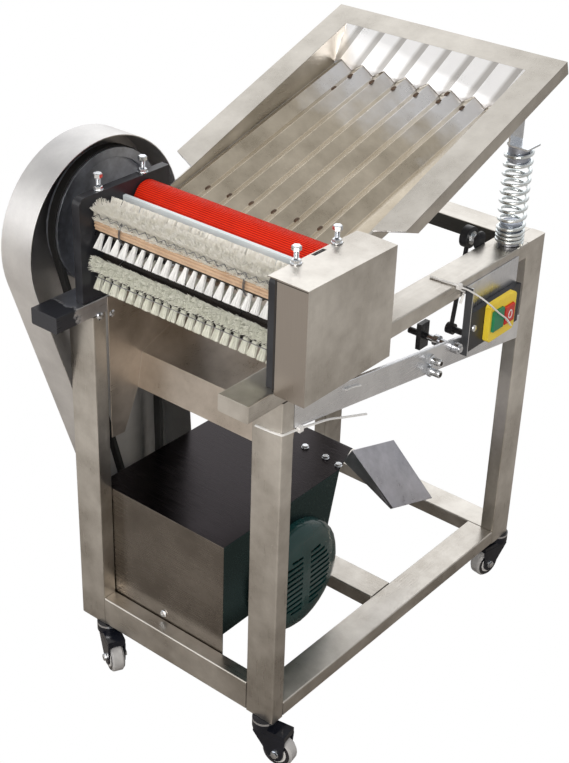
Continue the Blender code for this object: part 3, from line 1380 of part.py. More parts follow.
def fork_side():
    """Side outline of a fork leg with a round toe about the axle."""
    outline = [(-FORK_NECK, -FORK_TOP + FORK_WALL), (-FORK_NECK, -FORK_TOP)]
    for step in range(FORK_TOE_STEPS + 1):
        turn = math.radians(FORK_TOE_FROM_DEG + FORK_TOE_SWEEP_DEG * step / FORK_TOE_STEPS)
        run = TRAIL + FORK_TOE * math.cos(turn)
        outline.append((run, FORK_TOE * math.sin(turn) - WHEEL_DROP))
    outline.append((TRAIL + FORK_HALF, -FORK_TOP))
    outline.append((TRAIL + FORK_HALF, -FORK_TOP + FORK_WALL))
    return outline


def build_caster(label, x, y, heading_deg):
    """One swivel caster: round housing, fork with axle, and wheel."""
    heading = math.radians(heading_deg)
    spin = Matrix.Translation(Vector((x, y, 0.0))) @ Matrix.Rotation(heading, 4, "Z")
    housing = ((0.0, -GAP), (HOUSING_RADIUS, -GAP), (HOUSING_RADIUS, -HOUSING_LOW), (0.0, -HOUSING_LOW))
    fork = turned(f"{label}_caster_fork", housing, (x, y, 0.0), "Z", False, 24)
    shell = FORK_INNER + FORK_WALL
    side = fork_side()
    bridge_low = (-FORK_NECK, -shell + GAP, -FORK_TOP)
    bridge_high = (TRAIL + FORK_HALF - GAP, shell - GAP, -HOUSING_LOW + OVERRUN)
    helpers = [
        prism(f"{label}_near_leg", side, 1, -shell, -FORK_INNER, (0.0, 0.0, 0.0), True),
        prism(f"{label}_far_leg", side, 1, FORK_INNER, shell, (0.0, 0.0, 0.0), True),
        box(f"{label}_bridge", bridge_low, bridge_high, 0.0, True),
    ]
    for helper in helpers:
        helper.matrix_world = Matrix.Translation(SHIFT) @ spin @ Matrix.Translation(-SHIFT) @ helper.matrix_world
    reach = FORK_INNER + FORK_WALL * HALF_SHARE
    pin = ((0.0, reach), (AXLE_RADIUS, reach), (AXLE_RADIUS, -reach), (0.0, -reach))
    axle = turned(f"{label}_axle_helper", pin, (0.0, 0.0, 0.0), "Y", False, SMALL, True)
    offset = Matrix.Translation(Vector((TRAIL, 0.0, -WHEEL_DROP)))
    lay = Matrix.Rotation(-TURN / 4, 4, "X")
    axle.matrix_world = Matrix.Translation(SHIFT) @ spin @ offset @ lay
    combine(fork, helpers + [axle])
    black(fork)
    bore = AXLE_RADIUS + GAP
    rim = (
        (bore, WHEEL_HALF),
        (WHEEL_RADIUS - WHEEL_EDGE, WHEEL_HALF),
        (WHEEL_RADIUS, WHEEL_HALF - WHEEL_EDGE),
        (WHEEL_RADIUS, WHEEL_EDGE - WHEEL_HALF),
        (WHEEL_RADIUS - WHEEL_EDGE, -WHEEL_HALF),
        (bore, -WHEEL_HALF),
    )
    wheel = turned(f"{label}_caster_wheel", rim, (0.0, 0.0, 0.0), "Y", True, 24)
    wheel.matrix_world = Matrix.Translation(SHIFT) @ spin @ offset @ lay
    paint(wheel, WHITE_SHARES, 0.5, 0.0)


def build_casters():
    """Four casters under the corner posts."""
    for label, swivel, heading_deg in (
        ("front_left", FRONT_LEFT_SWIVEL, FRONT_LEFT_DEG),
        ("front_right", FRONT_RIGHT_SWIVEL, FRONT_RIGHT_DEG),
        ("rear_left", REAR_LEFT_SWIVEL, REAR_LEFT_DEG),
        ("rear_right", REAR_RIGHT_SWIVEL, REAR_RIGHT_DEG),
    ):
        build_caster(label, swivel[0], swivel[1], heading_deg)


build_posts()
build_bottom_rails()
build_top_rails()
build_bearing_plates()
build_rollers()
build_brush("upper_brush_roller", UPPER_BRUSH_Y, UPPER_BRUSH_Z, UPPER_ROW_DEG, UPPER_BARE_ROWS)
build_brush("lower_brush_roller", LOWER_BRUSH_Y, LOWER_BRUSH_Z, LOWER_ROW_DEG, LOWER_BARE_ROWS)
build_gears()
build_gear_cover()
build_scraper()
build_pulleys()
build_belt_guard()
build_motor()
build_cowl()
build_motor_cover()
build_hood()
build_chute()
build_tray()
build_springs()
build_link()
build_adjuster()
build_switch()
build_casters()
print("nodes", len(PARTS.objects))
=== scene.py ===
"""Looks of the pea sheller machine: materials, bolts, bristles, springs, lights and camera.

Places given to at() are in machine millimetres. Other lengths are in metres, unless a comment says more.
"""
import json
import math
import random
from collections import namedtuple

import bpy
from mathutils import Matrix, Vector
from mathutils.bvhtree import BVHTree

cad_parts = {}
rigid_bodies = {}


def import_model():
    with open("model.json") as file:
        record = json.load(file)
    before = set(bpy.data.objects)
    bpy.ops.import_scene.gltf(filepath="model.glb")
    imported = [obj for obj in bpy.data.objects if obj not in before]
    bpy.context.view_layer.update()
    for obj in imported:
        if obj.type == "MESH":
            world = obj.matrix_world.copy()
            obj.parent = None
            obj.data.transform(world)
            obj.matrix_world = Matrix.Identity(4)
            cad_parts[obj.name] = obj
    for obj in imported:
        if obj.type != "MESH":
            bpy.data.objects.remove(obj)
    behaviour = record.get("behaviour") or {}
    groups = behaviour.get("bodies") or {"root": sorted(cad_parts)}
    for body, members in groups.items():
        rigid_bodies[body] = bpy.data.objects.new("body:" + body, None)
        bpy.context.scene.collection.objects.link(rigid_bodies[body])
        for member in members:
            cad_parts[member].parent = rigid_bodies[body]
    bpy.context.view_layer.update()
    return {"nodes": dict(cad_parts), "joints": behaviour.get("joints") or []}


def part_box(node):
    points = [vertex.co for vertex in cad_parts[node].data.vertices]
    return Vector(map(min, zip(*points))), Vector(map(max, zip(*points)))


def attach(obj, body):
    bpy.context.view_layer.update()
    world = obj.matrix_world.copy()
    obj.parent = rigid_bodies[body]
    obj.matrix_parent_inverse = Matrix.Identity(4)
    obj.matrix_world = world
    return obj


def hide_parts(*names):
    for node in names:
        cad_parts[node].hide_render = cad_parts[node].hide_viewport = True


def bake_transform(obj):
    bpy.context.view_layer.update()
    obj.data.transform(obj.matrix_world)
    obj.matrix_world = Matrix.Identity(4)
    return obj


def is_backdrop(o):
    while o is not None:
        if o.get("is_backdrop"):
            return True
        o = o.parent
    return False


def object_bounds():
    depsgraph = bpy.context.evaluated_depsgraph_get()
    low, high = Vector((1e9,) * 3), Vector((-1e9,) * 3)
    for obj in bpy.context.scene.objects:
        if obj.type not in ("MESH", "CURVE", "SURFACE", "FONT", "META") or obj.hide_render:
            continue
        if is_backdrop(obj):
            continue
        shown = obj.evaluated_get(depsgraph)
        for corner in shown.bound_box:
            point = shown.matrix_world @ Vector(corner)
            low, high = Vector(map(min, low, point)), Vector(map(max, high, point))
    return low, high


TURN = 2 * math.pi
MM = 0.001
SHIFT = Vector((0.1985, -0.285, 0.075))
X_AXIS = Vector((1, 0, 0))
Y_AXIS = Vector((0, 1, 0))
Z_AXIS = Vector((0, 0, 1))
CORNERS = ("front_left", "front_right", "rear_left", "rear_right")


def at(x, y, z):
    """World point from machine millimetres (right face, front face and frame underside are 0)."""
    return Vector((x, y, z)) * MM + SHIFT


# Materials

STEEL_DARK = (0.43, 0.40, 0.36)
STEEL_LIGHT = (0.80, 0.77, 0.72)
STEEL_ROUGH = 0.33
# Painted dark reflection on the motor cover's flat top
COVER_TOP_PAINTED_REFLECTION = (0.022, 0.018, 0.020)
COVER_CHEEK = (0.030, 0.062, 0.064)
# Painted light on the channels: a sheen towards the raised end, and lighter flanks that look left
CHANNEL_PAINTED_SHEEN = (0.86, 0.86, 0.88)
CHANNEL_FLANK_PAINTED_LIGHT = (0.70, 0.64, 0.54)
ROD_PAINT = (0.02, 0.02, 0.024)
NOSE_PAINT = (0.030, 0.032, 0.040)
# Painted reflections on the inner side of the tray rim's rear wall
RIM_PAINTED_REFLECTION = (0.96, 0.96, 0.97)
RIM_PAINTED_STREAKS = (0.36, 0.34, 0.32)
# Darker tones on the left inner wall of the tray rim, darkest towards the front
RIM_INNER_DARKER = (0.27, 0.255, 0.24)
RIM_INNER_DARKEST = (0.10, 0.085, 0.08)
RING_ZINC = (0.80, 0.82, 0.86)

# Places, in machine millimetres, where a finish, a painted sheen or a darker part changes
CHANNEL_REAR_Y = 549
RIM_DARKEST_Y = (190, 520)
NOSE_PAINT_Y = -30
ROD_PAINT_X = -45
FORK_RING_Z = (-4.2, -1.0)

# Painted reflection: leaning streaks on the rear wall's inner side, as if it mirrored the channels
CHANNEL_PITCH = 0.0404
STREAK_LEAN = -0.45
STREAK_EDGE = (0.62, 0.80)

MARK_STRETCH = 0.02
BRUSHED_BUMP_DEPTH = 0.0006
PAINT_BUMP_DEPTH = 0.0004


class Graph:
    """Small helper to build a node material."""

    def __init__(self, name):
        self.mat = bpy.data.materials.new(name)
        self.mat.use_nodes = True
        self.tree = self.mat.node_tree
        self.tree.nodes.clear()
        self.out = self.add("ShaderNodeOutputMaterial")
        self.bsdf = self.add("ShaderNodeBsdfPrincipled")
        self.link(self.bsdf.outputs[0], self.out.inputs[0])
        self.where = self.add("ShaderNodeTexCoord").outputs["Object"]

    def add(self, kind, **values):
        """New node; a value is set on the node, or else on its input of that name."""
        node = self.tree.nodes.new(kind)
        for key, value in values.items():
            if hasattr(node, key):
                setattr(node, key, value)
            else:
                node.inputs[key].default_value = value
        return node

    def link(self, source, target):
        self.tree.links.new(source, target)

    def put(self, source, name):
        """Number or socket on an input of the shader."""
        socket = self.bsdf.inputs[name]
        if isinstance(source, float):
            socket.default_value = source
        else:
            self.link(source, socket)

    def noise(self, scale, detail=4.0, rough=0.55, stretch=(1.0, 1.0, 1.0)):
        """Noise value on coordinates stretched along the axes."""
        mapping = self.add("ShaderNodeMapping", Scale=stretch)
        self.link(self.where, mapping.inputs["Vector"])
        node = self.add("ShaderNodeTexNoise", Scale=scale, Detail=detail, Roughness=rough)
        self.link(mapping.outputs[0], node.inputs["Vector"])
        return node.outputs["Fac"]

    def ramp(self, source, stops):
        """Colours at places between 0 and 1."""
        node = self.add("ShaderNodeValToRGB")
        fill_ramp(node.color_ramp, stops)
        self.link(source, node.inputs["Fac"])
        return node.outputs["Color"]

    def span(self, source, low, high, start=0.3, end=0.7):
        """Turns start to end into low to high, and holds the ends."""
        node = self.add("ShaderNodeMapRange")
        for key, value in (("From Min", start), ("From Max", end), ("To Min", low), ("To Max", high)):
            node.inputs[key].default_value = value
        self.link(source, node.inputs["Value"])
        return node.outputs[0]

    def rising(self, source, start, end, peak=1.0):
        """Mask that is 0 below start and peak above end."""
        return self.span(source, 0.0, peak, start, end)

    def falling(self, source, start, end, peak=1.0):
        """Mask that is peak below start and 0 above end."""
        return self.span(source, peak, 0.0, start, end)

    def maths(self, operation, *values):
        """Math node; each value is a number or a socket."""
        node = self.add("ShaderNodeMath", operation=operation)
        for socket, value in zip(node.inputs, values):
            if isinstance(value, (int, float)):
                socket.default_value = value
            else:
                self.link(value, socket)
        return node.outputs[0]

    def part(self, vector, axis):
        """One component of a vector socket."""
        split = self.add("ShaderNodeSeparateXYZ")
        self.link(vector, split.inputs[0])
        return split.outputs[axis]

    def place(self, axis):
        return self.part(self.where, axis)

    def normal(self, axis):
        return self.part(self.add("ShaderNodeTexCoord").outputs["Normal"], axis)

    def facing(self, axis, way=1, start=0.5, end=0.8):
        """Mask of the faces that look along an axis."""
        if way > 0:
            return self.rising(self.normal(axis), start, end)
        return self.falling(self.normal(axis), -end, -start)

    def wavy(self, axis, swing, scale, detail):
        """Place along an axis, made uneven by up to swing."""
        noise = self.noise(scale, detail)
        return self.maths("ADD", self.place(axis), self.span(noise, -swing, swing))

    def bump(self, height, strength, distance):
        node = self.add("ShaderNodeBump", Strength=strength, Distance=distance)
        self.link(height, node.inputs["Height"])
        self.put(node.outputs[0], "Normal")

    def over(self, mask, colour, metallic=None):
        """Lays a second colour over the base colour where the mask is 1."""
        base = self.bsdf.inputs["Base Color"]
        mix = self.add("ShaderNodeMix", data_type="RGBA")
        self.link(mask, mix.inputs[0])
        self.link(base.links[0].from_socket, mix.inputs[6])
        mix.inputs[7].default_value = (*colour, 1.0)
        self.link(mix.outputs[2], base)
        if metallic is not None:
            self.put(self.span(mask, 1.0, metallic, 0.0, 1.0), "Metallic")


def fill_ramp(band, stops):
    """Sets the stops, each a place and a colour, of a new colour ramp."""
    while len(band.elements) < len(stops):
        band.elements.new(0.5)
    for element, (place, colour) in zip(band.elements, stops):
        element.position = place
        element.color = (*colour, 1.0)


def brushed(name, dark, light, rough, along="z", cloud=9.0, grain=900.0, bump=0.12):
    """Brushed metal with cloudy tarnish; along is the axis of the brush marks, if it has any."""
    graph = Graph(name)
    graph.put(1.0, "Metallic")
    stretch = [1.0, 1.0, 1.0]
    if along:
        stretch["xyz".index(along)] = MARK_STRETCH
    fine = graph.noise(grain, 2.0, stretch=stretch)
    wide = graph.noise(cloud, 6.0, 0.62)
    graph.put(graph.ramp(wide, ((0.32, dark), (0.68, light))), "Base Color")
    tarnish = graph.span(wide, -0.07, 0.09)
    marks = graph.span(fine, rough - 0.06, rough + 0.07)
    graph.put(graph.maths("ADD", tarnish, marks), "Roughness")
    graph.bump(fine, bump, BRUSHED_BUMP_DEPTH)
    return graph


def metal(*values, **more):
    return brushed(*values, **more).mat


def steel(name, along):
    return metal(name, STEEL_DARK, STEEL_LIGHT, STEEL_ROUGH, along)


def cover_with_painted_reflection():
    """Brown-grey sheet, with a painted dark reflection on the flat top and dark teal on the faces that look
    to the right.
    """
    graph = brushed("cover_sheet", (0.17, 0.15, 0.13), (0.30, 0.27, 0.24), 0.24, "x", cloud=7.0, grain=700.0,
                    bump=0.05)
    # Painted reflection: the flat top is drawn nearly black
    graph.over(graph.facing("Z"), COVER_TOP_PAINTED_REFLECTION)
    graph.over(graph.facing("X"), COVER_CHEEK)
    return graph.mat


def channel_with_painted_light():
    """Dull beige sheet of the channels, with a painted brighter, bluer sheen towards its raised end and
    painted light on the flanks that look left.
    """
    graph = brushed("channel_sheet_steel", (0.40, 0.345, 0.265), (0.64, 0.57, 0.46), 0.34, "y", cloud=14.0)
    rear = at(0, CHANNEL_REAR_Y, 0).y
    place = graph.wavy("Y", swing=0.05, scale=16.0, detail=4.0)
    # Painted sheen towards the raised end
    graph.over(graph.rising(place, rear - 0.14, rear - 0.02, peak=0.8), CHANNEL_PAINTED_SHEEN)
    # Painted light: the flanks that look left are drawn lighter
    graph.over(graph.facing("X", -1, start=0.25, end=0.45), CHANNEL_FLANK_PAINTED_LIGHT)
    return graph.mat


def rod_finish():
    """Zinc rod with black paint on its left end."""
    graph = brushed("adjuster_zinc", (0.50, 0.52, 0.56), (0.82, 0.84, 0.88), 0.24, None, cloud=60.0,
                    grain=800.0, bump=0.06)
    edge = at(ROD_PAINT_X, 0, 0).x
    blur = 0.0001
    graph.over(graph.falling(graph.place("X"), edge - blur, edge + blur), ROD_PAINT, metallic=0.1)
    return graph.mat


def rim_with_painted_reflection():
    """Tray rim: painted bright reflection with painted streaks on the rear wall's inner side, darker on the
    left wall's inner side and darkest towards the front.
    """
    graph = brushed("tray_rim_steel", (0.46, 0.43, 0.385), (0.70, 0.665, 0.61), STEEL_ROUGH, "y", cloud=12.0)
    rear = graph.facing("Y", -1, start=0.60, end=0.75)
    # Painted bright reflection on the rear wall's inner side
    graph.over(rear, RIM_PAINTED_REFLECTION)
    leaning = graph.maths("MULTIPLY_ADD", graph.place("Z"), STREAK_LEAN, graph.place("X"))
    stripe = graph.maths("FRACT", graph.maths("DIVIDE", leaning, CHANNEL_PITCH))
    streak = graph.rising(stripe, *STREAK_EDGE, peak=0.75)
    graph.over(graph.maths("MULTIPLY", streak, rear), RIM_PAINTED_STREAKS)
    # The left wall's inner side is darker, and darkest towards the front
    upward = graph.rising(graph.normal("Z"), 0.0, 0.1)
    inner = graph.maths("MULTIPLY", graph.facing("X", start=0.60, end=0.75), upward)
    graph.over(inner, RIM_INNER_DARKER)
    near, far = (at(0, y, 0).y for y in RIM_DARKEST_Y)
    low_end = graph.falling(graph.place("Y"), near, far, peak=0.9)
    graph.over(graph.maths("MULTIPLY", inner, low_end), RIM_INNER_DARKEST)
    return graph.mat


def front_shaded(name, along, shade, metallic=1.0, dark=STEEL_DARK, light=STEEL_LIGHT):
    """Brushed steel with painted shade on the faces that look to the front."""
    graph = brushed(name, dark, light, STEEL_ROUGH, along)
    graph.over(graph.facing("Y", -1), shade, metallic)
    return graph.mat


def nose_finish():
    """Left top rail, whose front end wears black paint with an uneven edge."""
    graph = brushed("steel_black_nose", (0.48, 0.49, 0.53), (0.86, 0.87, 0.92), STEEL_ROUGH, "y")
    edge = at(0, NOSE_PAINT_Y, 0).y
    place = graph.wavy("Y", swing=0.008, scale=60.0, detail=3.0)
    graph.over(graph.falling(place, edge - 0.002, edge + 0.003), NOSE_PAINT, metallic=0.2)
    return graph.mat


def painted(name, colour, second, rough, metallic=0.0, cloud=20.0, grain=500.0, bump=0.08, coating=0.0,
            shine=0.5):
    """Paint, plastic or rubber with slight unevenness."""
    graph = Graph(name)
    graph.put(metallic, "Metallic")
    graph.put(coating, "Coat Weight")
    graph.put(shine, "Specular IOR Level")
    wide = graph.noise(cloud, 5.0)
    graph.put(graph.ramp(wide, ((0.3, colour), (0.75, second))), "Base Color")
    graph.put(graph.span(wide, rough - 0.06, rough + 0.08), "Roughness")
    graph.bump(graph.noise(grain, 3.0), bump, PAINT_BUMP_DEPTH)
    return graph


def coat(*values, **more):
    return painted(*values, **more).mat


def bristle(name, colour, second, rough=0.55, cloud=160.0):
    return coat(name, colour, second, rough, cloud=cloud, grain=900.0, bump=0.0)


def fork_finish():
    """Black caster paint, with a zinc ring at the top of the swivel head."""
    graph = painted("fork_paint", (0.005, 0.006, 0.010), (0.012, 0.014, 0.022), 0.15, cloud=40.0, bump=0.03,
                    shine=0.4)
    low, high = (at(0, 0, z).z for z in FORK_RING_Z)
    blur = 0.0003
    ring = graph.maths("MULTIPLY", graph.rising(graph.place("Z"), low - blur, low + blur),
                       graph.falling(graph.place("Z"), high - blur, high + blur))
    graph.over(ring, RING_ZINC)
    graph.put(ring, "Metallic")
    return graph.mat


LOOKS = {
    "steel_x": steel("steel_along_x", "x"),
    "steel_y": steel("steel_along_y", "y"),
    "steel_z": steel("steel_along_z", "z"),
    "left_rail": nose_finish(),
    # Painted shade on the faces that look to the front: rear rail, switch bracket and gear cover
    "rear_rail": front_shaded("rear_rail_steel", "x", (0.10, 0.10, 0.095)),
    # Painted highlight: the switch bracket is drawn as lighter, bluer steel
    "bracket": front_shaded("bracket_steel", "z", (0.10, 0.105, 0.115), 0.5, (0.62, 0.64, 0.68),
                            (0.93, 0.94, 0.97)),
    "gear_sheet": front_shaded("gear_cover_steel", "z", (0.40, 0.36, 0.325)),
    "middle_rail": metal("middle_rail_steel", (0.62, 0.63, 0.66), (0.92, 0.93, 0.95), 0.30, "y"),
    "guard": metal("guard_sheet", (0.56, 0.55, 0.55), (0.84, 0.83, 0.82), 0.44, cloud=6.0, grain=700.0,
                   bump=0.06),
    "rim": rim_with_painted_reflection(),
    "channels": channel_with_painted_light(),
    "chute": metal("chute_sheet", (0.44, 0.385, 0.33), (0.72, 0.65, 0.58), 0.34, "y", cloud=10.0),
    "motor_cover": cover_with_painted_reflection(),
    "hood": metal("hood_sheet", (0.34, 0.34, 0.38), (0.50, 0.50, 0.55), 0.36, None, cloud=30.0, grain=400.0,
                  bump=0.1),
    "rod": rod_finish(),
    "coil": metal("spring_zinc", (0.80, 0.87, 0.89), (0.96, 0.99, 1.0), 0.28, None, cloud=60.0, grain=800.0,
                  bump=0.04),
    "zinc": metal("zinc_plate", (0.62, 0.65, 0.70), (0.86, 0.88, 0.90), 0.22, None, cloud=60.0, grain=800.0,
                  bump=0.06),
    "pulley": metal("pulley_iron", (0.34, 0.36, 0.42), (0.60, 0.64, 0.72), 0.42, None, cloud=40.0),
    "machined": metal("machined_steel", (0.16, 0.16, 0.17), (0.30, 0.30, 0.31), 0.34, "x", cloud=25.0),
    "rust": coat("dark_rivet", (0.06, 0.035, 0.02), (0.14, 0.09, 0.06), 0.55, 0.3, cloud=90.0),
    "black": coat("black_paint", (0.013, 0.013, 0.017), (0.034, 0.036, 0.043), 0.32, cloud=25.0, shine=0.38),
    "teal": coat("teal_paint", (0.003, 0.036, 0.036), (0.007, 0.060, 0.060), 0.24, cloud=14.0, grain=300.0,
                 bump=0.05, coating=0.4),
    "moulding": coat("black_moulding", (0.008, 0.008, 0.011), (0.018, 0.019, 0.025), 0.20, cloud=30.0,
                     bump=0.03, coating=0.5),
    "fork": fork_finish(),
    "belt": coat("belt_rubber", (0.012, 0.012, 0.012), (0.03, 0.03, 0.03), 0.7),
    "red": coat("red_rubber", (0.70, 0.026, 0.007), (0.86, 0.036, 0.009), 0.5, cloud=30.0, grain=700.0,
                bump=0.15, shine=0.15),
    # Painted shade: darker red for the grooves of the rubber sleeve
    "groove_shade": coat("red_groove_painted_shade", (0.36, 0.009, 0.003), (0.50, 0.014, 0.005), 0.6, cloud=30.0, shine=0.1),
    "cream": bristle("cream_bristle", (0.76, 0.77, 0.68), (0.93, 0.94, 0.88)),
    "ivory": bristle("ivory_bristle", (0.78, 0.76, 0.68), (0.95, 0.94, 0.91), cloud=120.0),
    # Painted shade: darker bristles for the upper brush's row at -65 degrees, which lies in shadow
    "shade": bristle("shaded_bristle", (0.10, 0.09, 0.07), (0.22, 0.20, 0.16), 0.6),
    "white": bristle("white_bristle", (0.92, 0.93, 0.93), (0.97, 0.98, 0.98), 0.5),
    "core": coat("brush_core", (0.012, 0.010, 0.009), (0.03, 0.024, 0.02), 0.7, cloud=40.0),
    "tan": coat("tan_backing", (0.46, 0.31, 0.20), (0.62, 0.45, 0.31), 0.5, cloud=60.0, bump=0.2),
    "strip": coat("pale_strip", (0.72, 0.80, 0.85), (0.86, 0.91, 0.94), 0.42),
    "yellow": coat("yellow_moulding", (1.0, 0.70, 0.04), (1.0, 0.79, 0.07), 0.35, cloud=40.0),
    "green": coat("green_button", (0.01, 0.20, 0.09), (0.02, 0.28, 0.13), 0.32, cloud=40.0),
    "stop": coat("red_button", (0.58, 0.02, 0.015), (0.70, 0.04, 0.03), 0.32, cloud=40.0),
    "tread": coat("grey_tread", (0.42, 0.42, 0.43), (0.58, 0.58, 0.58), 0.5, cloud=60.0),
    "hub": coat("white_hub", (0.78, 0.78, 0.78), (0.90, 0.90, 0.90), 0.3, cloud=60.0),
    "tie": coat("white_nylon", (0.92, 0.92, 0.92), (0.97, 0.97, 0.97), 0.4, cloud=60.0),
}

# Shapes

# Angle above which an edge is sharp, in degrees
SHARP_DEG = 35.0
BRISTLE_SHARP_DEG = 60.0
BAR_SHARP_DEG = 50.0
SLEEVE_SHARP_DEG = 25.0

HEX = 6
# Parts of a bolt, as shares of its shank's radius, its head's height or its nut's height
WASHER_RADIUS = 2.1
WASHER_BORE = 1.1
WASHER_HEIGHT = 0.32
WASHER_SIDES = 24
HEX_RADIUS = 1.85
HEX_TOP = 0.84
HEX_CHAMFER = 0.15
HEAD_TURN = 0.3
NUT_TURN = 0.1
THREAD_PITCH = 0.42
THREAD_SIDES = 14


def piece(name, verts, faces, mat, body, sharp=SHARP_DEG):
    """A mesh piece that rides on a body."""
    mesh = bpy.data.meshes.new(name)
    mesh.from_pydata([tuple(v) for v in verts], [], faces)
    mesh.validate()
    mesh.materials.append(mat)
    mesh.shade_smooth()
    mesh.set_sharp_from_angle(angle=math.radians(sharp))
    obj = bpy.data.objects.new(name, mesh)
    bpy.context.scene.collection.objects.link(obj)
    if body:
        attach(obj, body)
    return obj


def basis(axis):
    """Two unit vectors square to an axis of unit length."""
    side = axis.cross(Z_AXIS if abs(axis.z) < 0.9 else X_AXIS).normalized()
    return side, axis.cross(side)


def around(one, two, count, start=0.0):
    """Unit vectors in a circle that starts at one and turns towards two."""
    angles = (start + TURN * k / count for k in range(count))
    return [one * math.cos(angle) + two * math.sin(angle) for angle in angles]


def radial(degrees, reach=1.0):
    """Vector square to the X axis, at an angle from the Y axis."""
    angle = math.radians(degrees)
    return Vector((0.0, math.cos(angle) * reach, math.sin(angle) * reach))


class Shape:
    """Vertices and faces gathered for one piece."""

    def __init__(self):
        self.verts = []
        self.faces = []

    def rings(self, rings, closed=False):
        """Skin between rings of equal count, with end caps unless closed."""
        start = len(self.verts)
        count = len(rings[0])
        for one in rings:
            self.verts += one
        total = len(rings)
        for row in range(total if closed else total - 1):
            after = (row + 1) % total
            for k in range(count):
                j = (k + 1) % count
                quad = (row * count + k, row * count + j, after * count + j, after * count + k)
                self.faces.append(tuple(start + q for q in quad))
        if not closed:
            self.faces.append(tuple(start + k for k in reversed(range(count))))
            self.faces.append(tuple(start + (total - 1) * count + k for k in range(count)))

    def lathe(self, centre, axis, profile, count=28, start=0.0):
        """Turned form; profile rows are (radius, height along the axis)."""
        ways = around(*basis(axis), count, start)
        self.rings([[centre + axis * height + way * radius for way in ways] for radius, height in profile])

    def thread(self, centre, axis, radius, length, pitch):
        """Helical screw thread."""
        count = THREAD_SIDES
        ways = around(*basis(axis), count)
        rows = max(4, int(2 * length / pitch) - 2)
        start = len(self.verts)
        for row in range(rows + 1):
            depth = 0.0 if row % 2 else pitch / 2
            for k, way in enumerate(ways):
                height = (row / 2 + k / count) * pitch
                self.verts.append(centre + axis * height + way * (radius - depth))
        for row in range(rows):
            for k in range(count - 1):
                a = start + row * count + k
                self.faces.append((a, a + 1, a + count + 1, a + count))
            if row < rows - 1:
                a = start + row * count + count - 1
                self.faces.append((a, start + (row + 2) * count, start + (row + 3) * count, a + count))
        top = start + (rows - 1) * count
        self.faces.append(tuple(top + k for k in range(count)))

    def bolt(self, foot, axis, radius, head, shank=0.0, nut=0.0):
        """Hex head on a washer, and a threaded shank with a nut standing above it."""
        thick = radius * WASHER_HEIGHT
        rim = radius * WASHER_RADIUS
        washer = ((rim, 0.0), (rim, thick), (radius * WASHER_BORE, thick))
        self.lathe(foot, axis, washer, WASHER_SIDES)
        wide = radius * HEX_RADIUS
        top = thick + head
        hexagon = ((wide, thick), (wide, top - head * HEX_CHAMFER), (wide * HEX_TOP, top))
        self.lathe(foot, axis, hexagon, HEX, HEAD_TURN)
        if shank:
            self.thread(foot + axis * top, axis, radius, shank, radius * THREAD_PITCH)
            low, high = top + shank - nut, top + shank
            hexagon = ((wide, low), (wide, high - nut * HEX_CHAMFER), (wide * HEX_TOP, high))
            self.lathe(foot, axis, hexagon, HEX, NUT_TURN)

    def tube(self, points, radius, count=8, flat=1.0):
        """Round or flattened tube along points."""
        rings = []
        last = len(points) - 1
        for k, point in enumerate(points):
            way = (points[min(k + 1, last)] - points[max(k - 1, 0)]).normalized()
            side = way.cross(Z_AXIS if abs(way.z) < 0.95 else X_AXIS).normalized()
            rings.append([point + spoke * radius for spoke in around(side, side.cross(way) * flat, count)])
        self.rings(rings)

    def block(self, low, high):
        """Box between two corners."""
        floor = [Vector((x, y, low.z)) for x, y in ((low.x, low.y), (high.x, low.y), (high.x, high.y),
                                                    (low.x, high.y))]
        self.rings([floor, [Vector((v.x, v.y, high.z)) for v in floor]])

    def bar(self, outline, left, right):
        """Bar along X with one outline from end to end."""
        self.rings([[Vector((x, p.y, p.z)) for p in outline] for x in (left, right)])

    def done(self, name, look, body, sharp=SHARP_DEG):
        return piece(name, self.verts, self.faces, LOOKS[look], body, sharp)


def turned(name, look, body, places, axis, profile, count=28):
    """Piece made of one turned form at each place."""
    shape = Shape()
    for place in places:
        shape.lathe(place, axis, profile, count)
    return shape.done(name, look, body)


def smooth(points, steps):
    """Points of a Catmull-Rom curve through the given points."""
    ends = [points[0] * 2 - points[1], *points, points[-1] * 2 - points[-2]]
    result = []
    for k in range(len(points) - 1):
        a, b, c, d = ends[k:k + 4]
        for j in range(steps):
            t = j / steps
            curve = (b * 2 + (c - a) * t + (a * 2 - b * 5 + c * 4 - d) * t * t
                     + (b * 3 - a - c * 3 + d) * t ** 3)
            result.append(curve / 2)
    result.append(points[-1])
    return result


# Frame nodes

NODE_LOOKS = {
    "steel_x": ("bottom_front_rail", "bottom_rear_rail", "motor_cross_rail", "motor_plate"),
    "steel_y": ("bottom_left_rail", "bottom_right_rail", "right_top_rail"),
    "steel_z": ("front_left_post", "front_right_post", "rear_left_post", "rear_right_post"),
    "left_rail": ("left_top_rail",),
    "rear_rail": ("rear_top_rail",),
    "middle_rail": ("right_middle_rail",),
    "bracket": ("switch_bracket",),
    "gear_sheet": ("gear_cover",),
    "guard": ("belt_guard",),
    "rim": ("feed_tray_rim",),
    "channels": ("channel_sheet",),
    "chute": ("pea_chute",),
    "motor_cover": ("motor_cover",),
    "hood": ("outlet_hood",),
    "rod": ("adjuster_rod",),
    "zinc": ("right_spring_bracket", "left_spring_bracket"),
    "machined": ("rubber_roller_shaft", "nip_roller", "rubber_roller_gear", "nip_roller_gear", "idler_gear",
                 "lower_brush_gear", "upper_brush_gear", "motor_shaft"),
    "pulley": ("head_pulley", "motor_pulley"),
    "black": ("left_bearing_plate", "right_bearing_plate", "switch_box", "tie_link"),
    "teal": ("motor_body", "fan_cowl"),
    "belt": ("drive_belt",),
    "moulding": ("cooling_fan",),
    "strip": ("scraper_strip",),
    "yellow": ("switch_face",),
    "green": ("start_button",),
    "stop": ("stop_button",),
    "fork": tuple(f"{corner}_caster_fork" for corner in CORNERS),
    "tread": tuple(f"{corner}_caster_wheel" for corner in CORNERS),
}
